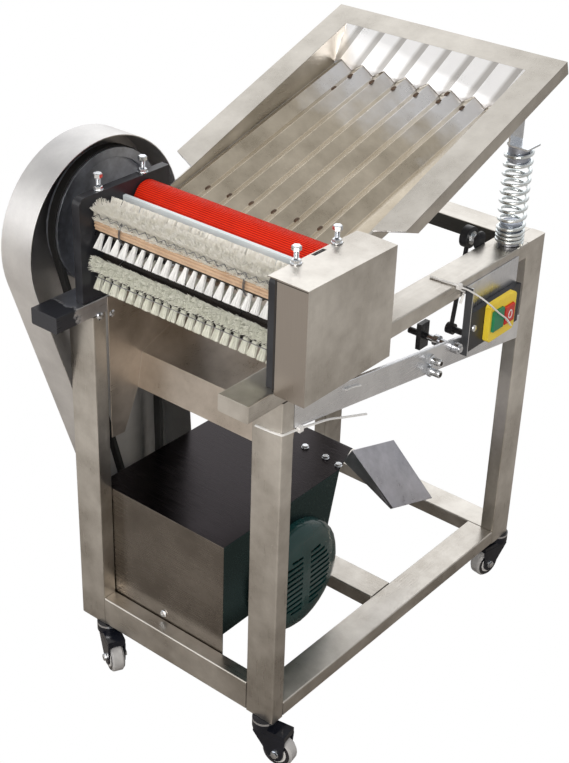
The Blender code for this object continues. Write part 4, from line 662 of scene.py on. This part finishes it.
# Width of the softened edges: the first word that a node's name holds counts
EDGE_WIDTHS = (("gear", 0.0002), ("wheel", 0.0002), ("rail", 0.0009), ("post", 0.0009),
               ("channel_sheet", 0.0011), ("cover", 0.0008), ("fork", 0.0030), ("", 0.0004))
WELD_DISTANCE = 0.00001


def dress(frame):
    """Gives each visible frame node its material and soft edges."""
    for look, nodes in NODE_LOOKS.items():
        for node in nodes:
            materials = frame["nodes"][node].data.materials
            materials.clear()
            materials.append(LOOKS[look])
    for node, obj in frame["nodes"].items():
        soften(obj, next(width for word, width in EDGE_WIDTHS if word in node))


def soften(obj, width):
    """Smooth arcs and soft edges on a frame node, without a change to its mesh."""
    obj.data.shade_smooth()
    weld = obj.modifiers.new("weld", "WELD")
    weld.merge_threshold = WELD_DISTANCE
    bevel = obj.modifiers.new("soft_edges", "BEVEL")
    bevel.limit_method = "ANGLE"
    bevel.angle_limit = math.radians(SHARP_DEG)
    bevel.width = width
    bevel.segments = 2
    bevel.use_clamp_overlap = True
    shade = obj.modifiers.new("even_shading", "WEIGHTED_NORMAL")
    shade.keep_sharp = True


# Rollers

# Brush axles and ends, in machine millimetres
BRUSH_Y = 28
UPPER_Z = 671
LOWER_Z = 605
BRUSH_LEFT = -338.5
BRUSH_RIGHT = -18.5

CORE_RADIUS = 0.0135
SHAFT_RADIUS = 0.009
STRAND_ROOT = 0.00042
STRAND_TIP = 0.00038
STRAND_SHORTEST = 0.93
TUFT_ROOT = 0.0165
TUFT_ROOT_DEPTH = 0.005
# Width of a tuft's root as a share of its tip's
ROOT_SHARE = {"white": 0.34, "cream": 0.62, "ivory": 0.8, "shade": 0.4}

# Strip under a row of tufts: outline across and outwards, in shares of its size
STRIP_OUTLINE = ((-1, 0), (1, 0), (0.8, 1), (-0.8, 1))
STRIP_SIZE = 0.0042
STRIP_FOOT = 0.0125
STRIP_INSET = 0.0005

BAR_INSET = 0.001
BAR_RADIUS = 0.0168
BAR_INNER = 0.0137
BAR_HALF_DEG = 25
BAR_STEPS = 26
BAR_BEAD = 0.0022
BAR_FALL = 0.0005
STITCH_STEP = 0.0085
STITCH_RADIUS = 0.0252
STITCH_WIRE = 0.0005
STITCH_DEG = (27, 40)

# A row of tufts: its angle and lean in degrees, number of tufts, reach from the axle, half width, wildness
# and half thickness of a tuft's tip, and strands in a tuft
Row = namedtuple("Row", "degrees lean look tufts reach half wild thick strands")
UPPER_ROWS = (Row(-125, 4, "white", 21, 0.0392, 0.0061, 0.0003, 0.0024, 120),
              Row(116, 0, "ivory", 28, 0.0347, 0.0064, 0.0024, 0.0100, 170),
              Row(146, 0, "ivory", 28, 0.0238, 0.0064, 0.0016, 0.0042, 60),
              Row(55, 0, "ivory", 24, 0.0345, 0.0062, 0.0020, 0.0060, 60),
              Row(-65, 0, "shade", 21, 0.0340, 0.0040, 0.0006, 0.0024, 40))
UPPER_BARS = (175, -5)
LOWER_ROWS = (Row(145, 14, "cream", 26, 0.0347, 0.0064, 0.0018, 0.0100, 170),
              Row(-155, 38, "cream", 21, 0.0372, 0.0056, 0.0004, 0.0030, 120),
              Row(25, 0, "cream", 21, 0.0355, 0.0054, 0.0006, 0.0030, 60),
              Row(-35, 0, "cream", 21, 0.0355, 0.0054, 0.0006, 0.0030, 60))
LOWER_BARS = (-95, 85)

# Wire loops: start along X, then shift along X and radius in millimetres, first and last angle in degrees
WIRE = 0.0007
WIRE_STEPS = 18
UPPER_WIRES_X = (-290, -75)
UPPER_LOOPS = ((0, 21, 228, 100), (2.5, 21.5, 222, 108))
LOWER_WIRES_X = (-298, -88)
LOWER_LOOP = (0, 22, 190, 95)
WIRE_BEAD = ((0.0028, 0.0), (0.0034, 0.0010), (0.0034, 0.0030), (0.0028, 0.0040))
WIRE_BEAD_SHIFT = -2
WIRE_BEAD_YZ = (6.5, 612)
LONG_WIRE = ((-330, 1.5, 601), (-180, 1.0, 600.5), (-30, 1.5, 601))
LONG_WIRE_RADIUS = 0.0006

# Rubber sleeve: corners of a flute as (share of the pitch, share of the radius cut away)
FLUTES = 54
FLUTE_MARKS = ((0.0, 0.0), (0.62, 0.0), (0.68, 0.040), (0.94, 0.040))
# Faces of each flute's groove that take the darker red: painted shade
GROOVE_FACES = (1, 2)
SLEEVE_EDGE = 0.0015


def tuft(shape, rng, root, way, row):
    """One tuft: thin strands from a narrow root to a wide tip."""
    out = way.cross(X_AXIS).normalized()
    root_half = row.half * ROOT_SHARE[row.look]
    root_thick = min(row.thick, TUFT_ROOT_DEPTH)
    for _ in range(row.strands):
        u = rng.uniform(-1, 1)
        v = rng.uniform(-1, 1)
        foot = root + X_AXIS * u * root_half + out * v * root_thick
        reach = (row.reach - TUFT_ROOT) * rng.uniform(STRAND_SHORTEST, 1.0)
        tip = root + way * reach + X_AXIS * (u * row.half + rng.uniform(-1, 1) * row.wild)
        tip += out * (v * row.thick + rng.uniform(-1, 1) * row.wild)
        ways = around(*basis((tip - foot).normalized()), 3)
        shape.rings([[spot + side * radius for side in ways]
                     for spot, radius in ((foot, STRAND_ROOT), (tip, STRAND_TIP))])


def brush(name, z, rows, bars):
    """Brush roller: core with shaft ends, strips, tufts and backing bars."""
    rng = random.Random(name)
    body = f"{name}_set"
    node = f"{name}_roller"
    low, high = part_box(node)
    start, end = at(BRUSH_LEFT, BRUSH_Y, z), at(BRUSH_RIGHT, BRUSH_Y, z)
    left, right = start.x, end.x
    core = Shape()
    core.lathe(start, X_AXIS, ((CORE_RADIUS, 0.0), (CORE_RADIUS, right - left)), count=32)
    for x, long in ((low.x, left - low.x), (right, high.x - right)):
        foot = Vector((x, start.y, start.z))
        core.lathe(foot, X_AXIS, ((SHAFT_RADIUS, 0.0), (SHAFT_RADIUS, long)), count=20)
    core_obj = core.done(f"{name}_core", "core", body)
    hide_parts(node)
    gathered = {}
    strips = Shape()
    for row in rows:
        way = radial(row.degrees)
        shape = gathered.setdefault(row.look, Shape())
        step = (right - left) / row.tufts
        for k in range(row.tufts):
            root = start + X_AXIS * step * (k + 0.5) + way * TUFT_ROOT
            tuft(shape, rng, root, radial(row.degrees + row.lean), row)
        side = Vector((0.0, -way.z, way.y))
        outline = [start + side * u * STRIP_SIZE + way * (STRIP_FOOT + v * STRIP_SIZE)
                   for u, v in STRIP_OUTLINE]
        strips.bar(outline, left + STRIP_INSET, right - STRIP_INSET)
    strips.done(f"{name}_strip_bases", "core", body)
    for look, shape in gathered.items():
        obj = shape.done(f"{name}_{look}_bristles", look, body, BRISTLE_SHARP_DEG)
    for number, degrees in enumerate(bars):
        backing_bar(f"{name}_bar_{number}", body, start, degrees, left + BAR_INSET, right - BAR_INSET)


def backing_bar(name, body, axle, degrees, left, right):
    """Backing bar with beads; an upper one is tan and has a zigzag stitch beside it, a lower one takes the
    dark core colour as painted shade.
    """
    shares = [k / BAR_STEPS * 2 - 1 for k in range(BAR_STEPS + 1)]
    outline = []
    for share in shares:
        bead = BAR_BEAD * abs(math.sin(share * math.pi * 1.5)) - BAR_FALL * share * share
        outline.append(axle + radial(degrees + BAR_HALF_DEG * share, BAR_RADIUS + bead))
    outline += [axle + radial(degrees + BAR_HALF_DEG * share, BAR_INNER) for share in reversed(shares)]
    # Lower bars: painted shade in the dark core colour, and no stitch
    plain = name.startswith("lower")
    shape = Shape()
    shape.bar(outline, left, right)
    shape.done(name, "core" if plain else "tan", body, BAR_SHARP_DEG)
    if plain:
        return
    points = []
    for k in range(int((right - left) / STITCH_STEP) + 1):
        swing = STITCH_DEG[k % 2] * (-1 if degrees > 90 else 1)
        spot = axle + radial(degrees + swing, STITCH_RADIUS)
        points.append(Vector((left + STITCH_STEP * k, spot.y, spot.z)))
    stitch = Shape()
    stitch.tube(points, STITCH_WIRE, count=5)
    stitch.done(f"{name}_stitch", "machined", body)


def rubber_roller():
    """Red rubber sleeve with fine lengthwise flutes, whose grooves are painted a darker red as shade."""
    low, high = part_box("rubber_roller_sleeve")
    centre = (low + high) / 2
    radius = (high.z - low.z) / 2
    corners = len(FLUTE_MARKS)
    count = FLUTES * corners
    rings = []
    for x, cut in ((low.x, SLEEVE_EDGE), (low.x + SLEEVE_EDGE, 0.0), (high.x - SLEEVE_EDGE, 0.0),
                   (high.x, SLEEVE_EDGE)):
        ring = []
        for k in range(count):
            place, depth = FLUTE_MARKS[k % corners]
            reach = (radius - cut) * (1 - depth)
            angle = TURN * (k // corners + place) / FLUTES
            ring.append(Vector((x, centre.y + math.cos(angle) * reach, centre.z + math.sin(angle) * reach)))
        rings.append(ring)
    shape = Shape()
    shape.rings(rings)
    obj = shape.done("fluted_rubber_sleeve", "red", "rubber_roller_set", SLEEVE_SHARP_DEG)
    obj.data.materials.append(LOOKS["groove_shade"])
    walls = (len(rings) - 1) * count
    for number, face in enumerate(obj.data.polygons):
        if number < walls and number % corners in GROOVE_FACES:
            face.material_index = 1
    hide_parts("rubber_roller_sleeve")


def wire_loop(shape, x, z, loop):
    """Bent wire around a brush roller."""
    shift, radius, first, last = loop
    points = []
    for k in range(WIRE_STEPS + 1):
        spot = radial(first + (last - first) * k / WIRE_STEPS, radius)
        points.append(at(x + shift, BRUSH_Y + spot.y, z + spot.z))
    shape.tube(points, WIRE, count=6)


def build_rollers():
    """Both brushes with their wires, and the rubber roller."""
    brush("upper_brush", UPPER_Z, UPPER_ROWS, UPPER_BARS)
    brush("lower_brush", LOWER_Z, LOWER_ROWS, LOWER_BARS)
    rubber_roller()
    wires = Shape()
    for x in UPPER_WIRES_X:
        for loop in UPPER_LOOPS:
            wire_loop(wires, x, UPPER_Z, loop)
    wires.done("upper_brush_wires", "machined", "upper_brush_set")
    wires = Shape()
    for x in LOWER_WIRES_X:
        wire_loop(wires, x, LOWER_Z, LOWER_LOOP)
        wires.lathe(at(x + WIRE_BEAD_SHIFT, *WIRE_BEAD_YZ), X_AXIS, WIRE_BEAD, count=16)
    wires.tube([at(*point) for point in LONG_WIRE], LONG_WIRE_RADIUS, count=6)
    wires.done("lower_brush_wires", "machined", "lower_brush_set")


# Small fasteners

# Feet of bolts, screws and welds, in machine millimetres; forms are (radius, height) rows or bolt sizes
ADJUSTING_BOLTS = ((-9.5, 28, 716.5), (-9.5, 108, 716.5), (-347, 28, 713.3), (-347, 112, 713.3))
ADJUSTING_BOLT = {"radius": 0.0035, "head": 0.0045, "shank": 0.018, "nut": 0.006}
COVER_TOP_BOLTS = ((-195, 304, 241.5), (-153, 302, 241.5), (-125, 298, 241.5))
COVER_TOP_BOLT = {"radius": 0.0028, "head": 0.0035}
COVER_FOOT_SCREW = (-235, 24.6, 61)
COVER_FOOT_BOLT = {"radius": 0.0026, "head": 0.0030}

RAIL_BOLTS = ((0.2, 331, 462), (0.2, 331, 444))
RAIL_BOLT_HEX = ((0.0088, 0.0), (0.0088, 0.0045), (0.0080, 0.0055))
RAIL_BOLT_SLEEVE = ((0.0055, 0.0055), (0.0055, 0.0190), (0.0048, 0.0200), (0.0036, 0.0200))
# Dark discs on the sleeve ends: painted shade for their socket holes
RAIL_BOLT_SOCKET_SHADE = ((0.0036, 0.0199), (0.0034, 0.0203))
RAIL_BOLT_TURN = 0.2

# Rivet rows: x of the first, step and y; loose rivets: x and y
RIVET_ROWS = ((-318.5, 40.4, 213), (-299, 40.3, 511))
RIVETS_IN_ROW = 6
LOOSE_RIVETS = ((-303.8, 478), (-268, 547), (-138.5, 533))
RIVET = ((0.0050, 0.0), (0.0048, 0.0014), (0.0030, 0.0028))
RIVET_SINK = 0.0004
ABOVE_TRAY = 900

LINK_EYE = (-65.8, 523, 566)
EYE_WASHER = ((0.0105, 0.0), (0.0105, 0.0016), (0.0072, 0.0016))
EYE_HEX = ((0.0072, 0.0016), (0.0072, 0.0070), (0.0062, 0.0082))

MOTOR_END = (-115.4, 180, 110)
MOTOR_SHIELD = ((0.0870, 0.0), (0.0870, 0.0012), (0.0110, 0.0012), (0.0110, 0.0))

# Black strips in the gaps of the gear cover: painted shade
GEAR_GAP_SHADE_STRIPS = (((-1.7, -20.45, 561), (0.6, -20.1, 713.0)), ((-1.7, -20.45, 713.0), (48.4, -20.1, 714.0)))

POST_WELDS = ((-337.2, 13, 533.5), (-337.2, 35, 530))
WELD_BLOB = ((0.0060, 0.0), (0.0055, 0.0022), (0.0030, 0.0038))

TIE_ROUTES = (
    ((-42, -1.6, 487.5), (-18.6, -1.9, 488.5), (-3, -1.8, 490), (1.7, 0.5, 490), (1.8, 19, 487),
     (2.2, 33, 485), (4, 61, 480), (4.5, 92, 473), (4.5, 128, 460), (4.5, 176, 443)),
    ((-41, 378, 561.6), (-20, 379, 561.8), (-1, 381, 561.8), (1.8, 383, 560), (3.4, 386, 555), (4, 394, 548),
     (3, 401, 543), (3, 394, 528)),
    ((3.5, 385, 558), (10, 398, 551), (20, 417, 536), (28.5, 435, 519), (29.8, 460, 497), (29.6, 483, 479),
     (29.2, 500, 461)),
    ((1.6, 129, 500), (1.7, 144, 498), (1.7, 162, 493)),
)
TIE_STEPS = 6
TIE_HALF = 0.0022
TIE_FLATNESS = 0.6
TIE_KNOTS = ((2.6, 33, 485), (3.6, 385, 559))
KNOT_LOW = Vector((-0.0024, -0.0040, -0.0036))
KNOT_HIGH = Vector((0.0034, 0.0040, 0.0036))

SWITCH_SCREW = (12.6, 423, 480)
SWITCH_SCREW_HEAD = ((0.0055, 0.0), (0.0050, 0.0014), (0.0020, 0.0019))
# Ring on the stop button: centre and half sizes in machine millimetres
ZERO_CENTRE = (26.6, 500, 479)
ZERO_HALF_WIDTH = 4.6
ZERO_HALF_HEIGHT = 6.4
ZERO_LINE = 0.0011
ZERO_RISE = 0.0005


def build_fasteners(frame):
    """Bolts, rivets and welds on the frame and the tray, and black strips in the gear cover's gaps as painted
    shade.
    """
    tall = Shape()
    for foot in ADJUSTING_BOLTS:
        tall.bolt(at(*foot), Z_AXIS, **ADJUSTING_BOLT)
    tall.done("adjusting_bolts", "zinc", "frame")
    covers = Shape()
    for foot in COVER_TOP_BOLTS:
        covers.bolt(at(*foot), Z_AXIS, **COVER_TOP_BOLT)
    covers.bolt(at(*COVER_FOOT_SCREW), -Y_AXIS, **COVER_FOOT_BOLT)
    covers.done("cover_bolts", "zinc", "frame")
    rail_bolts = [at(*foot) for foot in RAIL_BOLTS]
    side = Shape()
    for foot in rail_bolts:
        side.lathe(foot, X_AXIS, RAIL_BOLT_HEX, HEX, RAIL_BOLT_TURN)
        side.lathe(foot, X_AXIS, RAIL_BOLT_SLEEVE)
    side.done("middle_rail_bolts", "zinc", "frame")
    # Painted shade: dark discs for the socket holes
    turned("middle_rail_bolt_socket_shade", "core", "frame", rail_bolts, X_AXIS, RAIL_BOLT_SOCKET_SHADE, count=20)
    build_rivets(frame["nodes"]["channel_sheet"].data)
    pins = Shape()
    pins.lathe(at(*LINK_EYE), X_AXIS, EYE_WASHER)
    pins.lathe(at(*LINK_EYE), X_AXIS, EYE_HEX, HEX, HEAD_TURN)
    pins.done("link_eye_bolt", "zinc", "frame")
    turned("motor_end_shield", "core", "frame", [at(*MOTOR_END)], X_AXIS, MOTOR_SHIELD, count=40)
    # Painted shade: black strips in the gear cover's gaps
    seams = Shape()
    for low, high in GEAR_GAP_SHADE_STRIPS:
        seams.block(at(*low), at(*high))
    seams.done("gear_cover_gap_shade_strips", "core", "frame")
    welds = [at(*foot) for foot in POST_WELDS]
    turned("left_post_welds", "zinc", "frame", welds, X_AXIS, WELD_BLOB, count=14)


def build_rivets(sheet):
    """Rivets square to the faces of the channel sheet."""
    spots = [(first + step * k, y) for first, step, y in RIVET_ROWS for k in range(RIVETS_IN_ROW)]
    surface = BVHTree.FromPolygons([v.co for v in sheet.vertices], [list(p.vertices) for p in sheet.polygons])
    rivets = Shape()
    for x, y in (*spots, *LOOSE_RIVETS):
        spot, normal, _, _ = surface.ray_cast(at(x, y, ABOVE_TRAY), -Z_AXIS)
        rivets.lathe(spot - normal * RIVET_SINK, normal, RIVET, count=14)
    rivets.done("tray_rivets", "rust", "feed_tray")


def build_ties():
    """White nylon ties."""
    ties = Shape()
    for route in TIE_ROUTES:
        ties.tube(smooth([at(*p) for p in route], TIE_STEPS), TIE_HALF, flat=TIE_FLATNESS)
    for knot in TIE_KNOTS:
        ties.block(at(*knot) + KNOT_LOW, at(*knot) + KNOT_HIGH)
    ties.done("nylon_ties", "tie", "frame")


def build_switch():
    """Screw of the switch box and raised ring on the stop button."""
    turned("switch_screw", "zinc", "frame", [at(*SWITCH_SCREW)], X_AXIS, SWITCH_SCREW_HEAD, count=20)
    x, y, z = ZERO_CENTRE
    rings = []
    for way in around(Y_AXIS, Z_AXIS, count=28):
        spot = at(x, y + ZERO_HALF_WIDTH * way.y, z + ZERO_HALF_HEIGHT * way.z)
        rings.append([spot + spoke for spoke in around(way * ZERO_LINE, X_AXIS * ZERO_RISE, count=6)])
    ring = Shape()
    ring.rings(rings, closed=True)
    ring.done("stop_button_zero", "hub", "stop_button_body")


# Springs and casters

COIL_WIRE = 0.0026
COIL_TURNS = 12.5
COIL_STEPS = 22
# Turns that lie close together at the bottom, and their share of the height
CLOSED_TURNS = 3.6
CLOSED_RISE = 0.15
SEAT_GAP = 0.0006
SEAT_NOSE = 0.002
SEAT_NOSE_SHARE = 0.86
RAIL_SEAT = 0.035
TRAY_SEAT = 0.025

WHEEL_HALF = 0.0100
WHEEL_DISC = ((0.0220, -0.0004), (0.0216, 0.0005), (0.0040, 0.0005))
WHEEL_RING = ((0.0165, 0.0002), (0.0160, 0.0011), (0.0125, 0.0011), (0.0120, 0.0002))
AXLE_END = 0.0142
AXLE_NUT = {"radius": 0.0030, "head": 0.0035}


def coil_height(turned_by):
    """Share of the coil's height after a number of turns."""
    if turned_by < CLOSED_TURNS:
        return turned_by / CLOSED_TURNS * CLOSED_RISE
    return CLOSED_RISE + (turned_by - CLOSED_TURNS) / (COIL_TURNS - CLOSED_TURNS) * (1 - CLOSED_RISE)


def build_springs():
    """Coil springs that stretch between the rail and the tray brackets."""
    for side in ("right", "left"):
        node = f"{side}_spring"
        low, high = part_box(node)
        centre = Vector(((low.x + high.x) / 2, (low.y + high.y) / 2, 0.0))
        radius = (high.x - low.x) / 2 - COIL_WIRE
        bottom, top = low.z + COIL_WIRE, high.z - COIL_WIRE
        points = []
        total = int(COIL_TURNS * COIL_STEPS)
        for k in range(total + 1):
            turns = k / total * COIL_TURNS
            angle = TURN * turns
            points.append(Vector((centre.x + math.cos(angle) * radius, centre.y + math.sin(angle) * radius,
                                  bottom + (top - bottom) * coil_height(turns))))
        shape = Shape()
        shape.tube(points, COIL_WIRE, count=10)
        obj = shape.done(f"{side}_coil", "coil", None)
        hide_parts(node)
        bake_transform(obj)
        bore = radius - COIL_WIRE - SEAT_GAP
        for end, way, long, body in ((low.z, 1, RAIL_SEAT, "frame"), (high.z, -1, TRAY_SEAT, "feed_tray")):
            profile = ((bore, 0.0), (bore, long - SEAT_NOSE), (bore * SEAT_NOSE_SHARE, long))
            foot = Vector((centre.x, centre.y, end))
            turned(f"{side}_{body}_spring_seat", "pulley", body, [foot], Z_AXIS * way, profile)


def build_wheels(frame):
    """Side discs, hub rings and axle nuts on the casters."""
    for joint in frame["joints"]:
        corner, found, _ = joint["name"].partition("_caster_roll")
        if not found:
            continue
        centre = Vector(joint["pos_m"])
        discs, rings, nuts = Shape(), Shape(), Shape()
        for way in (-Vector(joint["axis"]), Vector(joint["axis"])):
            discs.lathe(centre + way * WHEEL_HALF, way, WHEEL_DISC, count=32)
            rings.lathe(centre + way * WHEEL_HALF, way, WHEEL_RING, count=32)
            nuts.bolt(centre + way * AXLE_END, way, **AXLE_NUT)
        discs.done(f"{corner}_wheel_sides", "moulding", f"{corner}_roll")
        rings.done(f"{corner}_wheel_rings", "hub", f"{corner}_roll")
        nuts.done(f"{corner}_axle_nuts", "zinc", f"{corner}_swivel")


# Stage

PLAIN = (1.0, 1.0, 1.0)
WARM = (1.0, 0.96, 0.91)
# The sky is brightest towards SKY_WAY; stops are nearness to it (-1 to 1), level and tint
SKY_WAY = (-0.58, 0.72, 0.375)
SKY_PEAK = 1.6
SKY = ((-1.0, 0.36, WARM), (0.0, 0.46, WARM), (0.36, 0.52, PLAIN), (0.62, 0.68, PLAIN), (0.84, 1.0, PLAIN),
       (0.96, 1.45, PLAIN), (1.0, SKY_PEAK, PLAIN))

FLOOR_HALF = 6
FLOOR_DARK = (0.50, 0.47, 0.44)
FLOOR_LIGHT = (0.62, 0.60, 0.57)
# Painted shadow: the floor is darker below the machine, within these distances from the origin
FLOOR_PAINTED_SHADOW = (0.27, 0.245, 0.22)
FLOOR_SHADOW_REACH = (0.35, 1.15)
FLOOR_ROUGH = 0.8

# Camera fitted to the photograph, which is PHOTO_WIDTH pixels wide
PHOTO_WIDTH = 569
FOCAL_PIXELS = 1470.573
SENSOR_WIDTH = 36
AZIMUTH_DEG = 38.52667
ELEVATION_DEG = 30.241585
ROLL_DEG = 1.977886
CAMERA_PLACE = (975.979, -1224.148, 1480.749)
CLIP_END = 50


def area(name, place, aim, size, power, colour=PLAIN):
    """Rectangular lamp that looks at a point."""
    light = bpy.data.lights.new(name, "AREA")
    light.shape = "RECTANGLE"
    light.size, light.size_y = size
    light.energy = power
    light.color = colour
    obj = bpy.data.objects.new(name, light)
    bpy.context.scene.collection.objects.link(obj)
    obj.location = place
    obj.rotation_euler = (Vector(aim) - Vector(place)).to_track_quat("-Z", "Y").to_euler()


def shown_white(tree, kind, shader):
    """Shows plain white to the camera, and a shader to all other rays."""
    rays = tree.nodes.new("ShaderNodeLightPath")
    white = tree.nodes.new(kind)
    white.inputs["Color"].default_value = (*PLAIN, 1.0)
    white.inputs["Strength"].default_value = 1.0
    mix = tree.nodes.new("ShaderNodeMixShader")
    tree.links.new(rays.outputs["Is Camera Ray"], mix.inputs[0])
    tree.links.new(shader, mix.inputs[1])
    tree.links.new(white.outputs[0], mix.inputs[2])
    return mix.outputs[0]


def build_floor():
    """Plain pale floor, with a painted shadow below the machine."""
    graph = Graph("pale_floor")
    graph.put(graph.ramp(graph.noise(1.2, 3.0), ((0.3, FLOOR_DARK), (0.7, FLOOR_LIGHT))), "Base Color")
    reach = graph.add("ShaderNodeVectorMath", operation="LENGTH")
    graph.link(graph.where, reach.inputs[0])
    # Painted shadow below the machine
    graph.over(graph.falling(reach.outputs["Value"], *FLOOR_SHADOW_REACH), FLOOR_PAINTED_SHADOW)
    graph.put(FLOOR_ROUGH, "Roughness")
    graph.link(shown_white(graph.tree, "ShaderNodeEmission", graph.bsdf.outputs[0]), graph.out.inputs[0])
    verts = [(x * FLOOR_HALF, y * FLOOR_HALF, 0) for x, y in ((-1, -1), (1, -1), (1, 1), (-1, 1))]
    floor = piece("floor", verts, [(0, 1, 2, 3)], graph.mat, None)
    floor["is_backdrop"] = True


def build_world():
    """Soft studio sky, white to the camera."""
    world = bpy.data.worlds.new("studio")
    bpy.context.scene.world = world
    world.use_nodes = True
    tree = world.node_tree
    tree.nodes.clear()
    where = tree.nodes.new("ShaderNodeTexCoord")
    toward = tree.nodes.new("ShaderNodeVectorMath")
    toward.operation = "DOT_PRODUCT"
    toward.inputs[1].default_value = SKY_WAY
    tree.links.new(where.outputs["Generated"], toward.inputs[0])
    half = tree.nodes.new("ShaderNodeMapRange")
    half.inputs["From Min"].default_value = -1.0
    tree.links.new(toward.outputs["Value"], half.inputs["Value"])
    band = tree.nodes.new("ShaderNodeValToRGB")
    fill_ramp(band.color_ramp, [((nearness + 1) / 2, [level * part / SKY_PEAK for part in tint])
                                for nearness, level, tint in SKY])
    tree.links.new(half.outputs[0], band.inputs["Fac"])
    back = tree.nodes.new("ShaderNodeBackground")
    back.inputs["Strength"].default_value = SKY_PEAK
    tree.links.new(band.outputs[0], back.inputs["Color"])
    out = tree.nodes.new("ShaderNodeOutputWorld")
    tree.links.new(shown_white(tree, "ShaderNodeBackground", back.outputs[0]), out.inputs[0])


def build_lamps():
    """Two soft lamps before the machine; power is in watts."""
    area("front", place=(1.3, -2.6, 2.4), aim=(0, 0, 0.5), size=(1.8, 1.8), power=66.0, colour=WARM)
    area("front_left", place=(-2.1, -2.9, 1.75), aim=(0, 0, 0.7), size=(2.6, 2.2), power=24.0)


def build_camera():
    """Camera at the photograph's view."""
    azimuth, elevation, roll = (math.radians(v) for v in (AZIMUTH_DEG, ELEVATION_DEG, ROLL_DEG))
    ahead = Vector((-math.sin(azimuth) * math.cos(elevation), math.cos(azimuth) * math.cos(elevation),
                    -math.sin(elevation)))
    right = Vector((math.cos(azimuth), math.sin(azimuth), 0))
    up = right.cross(ahead)
    turned_right = right * math.cos(roll) + up * math.sin(roll)
    turned_up = up * math.cos(roll) - right * math.sin(roll)
    camera = bpy.data.objects.new("camera", bpy.data.cameras.new("camera"))
    bpy.context.scene.collection.objects.link(camera)
    matrix = Matrix((turned_right, turned_up, -ahead)).transposed().to_4x4()
    matrix.translation = at(*CAMERA_PLACE)
    camera.matrix_world = matrix
    camera.data.sensor_fit = "HORIZONTAL"
    camera.data.sensor_width = SENSOR_WIDTH
    camera.data.lens = FOCAL_PIXELS / PHOTO_WIDTH * SENSOR_WIDTH
    camera.data.clip_end = CLIP_END
    bpy.context.scene.camera = camera


def corners():
    return [list(v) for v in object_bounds()]


for old in list(bpy.data.objects):
    bpy.data.objects.remove(old, do_unlink=True)
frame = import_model()
dress(frame)
build_rollers()
build_fasteners(frame)
build_ties()
build_springs()
build_wheels(frame)
build_switch()
build_floor()
build_world()
build_lamps()
build_camera()
bpy.context.scene.view_settings.view_transform = "Standard"
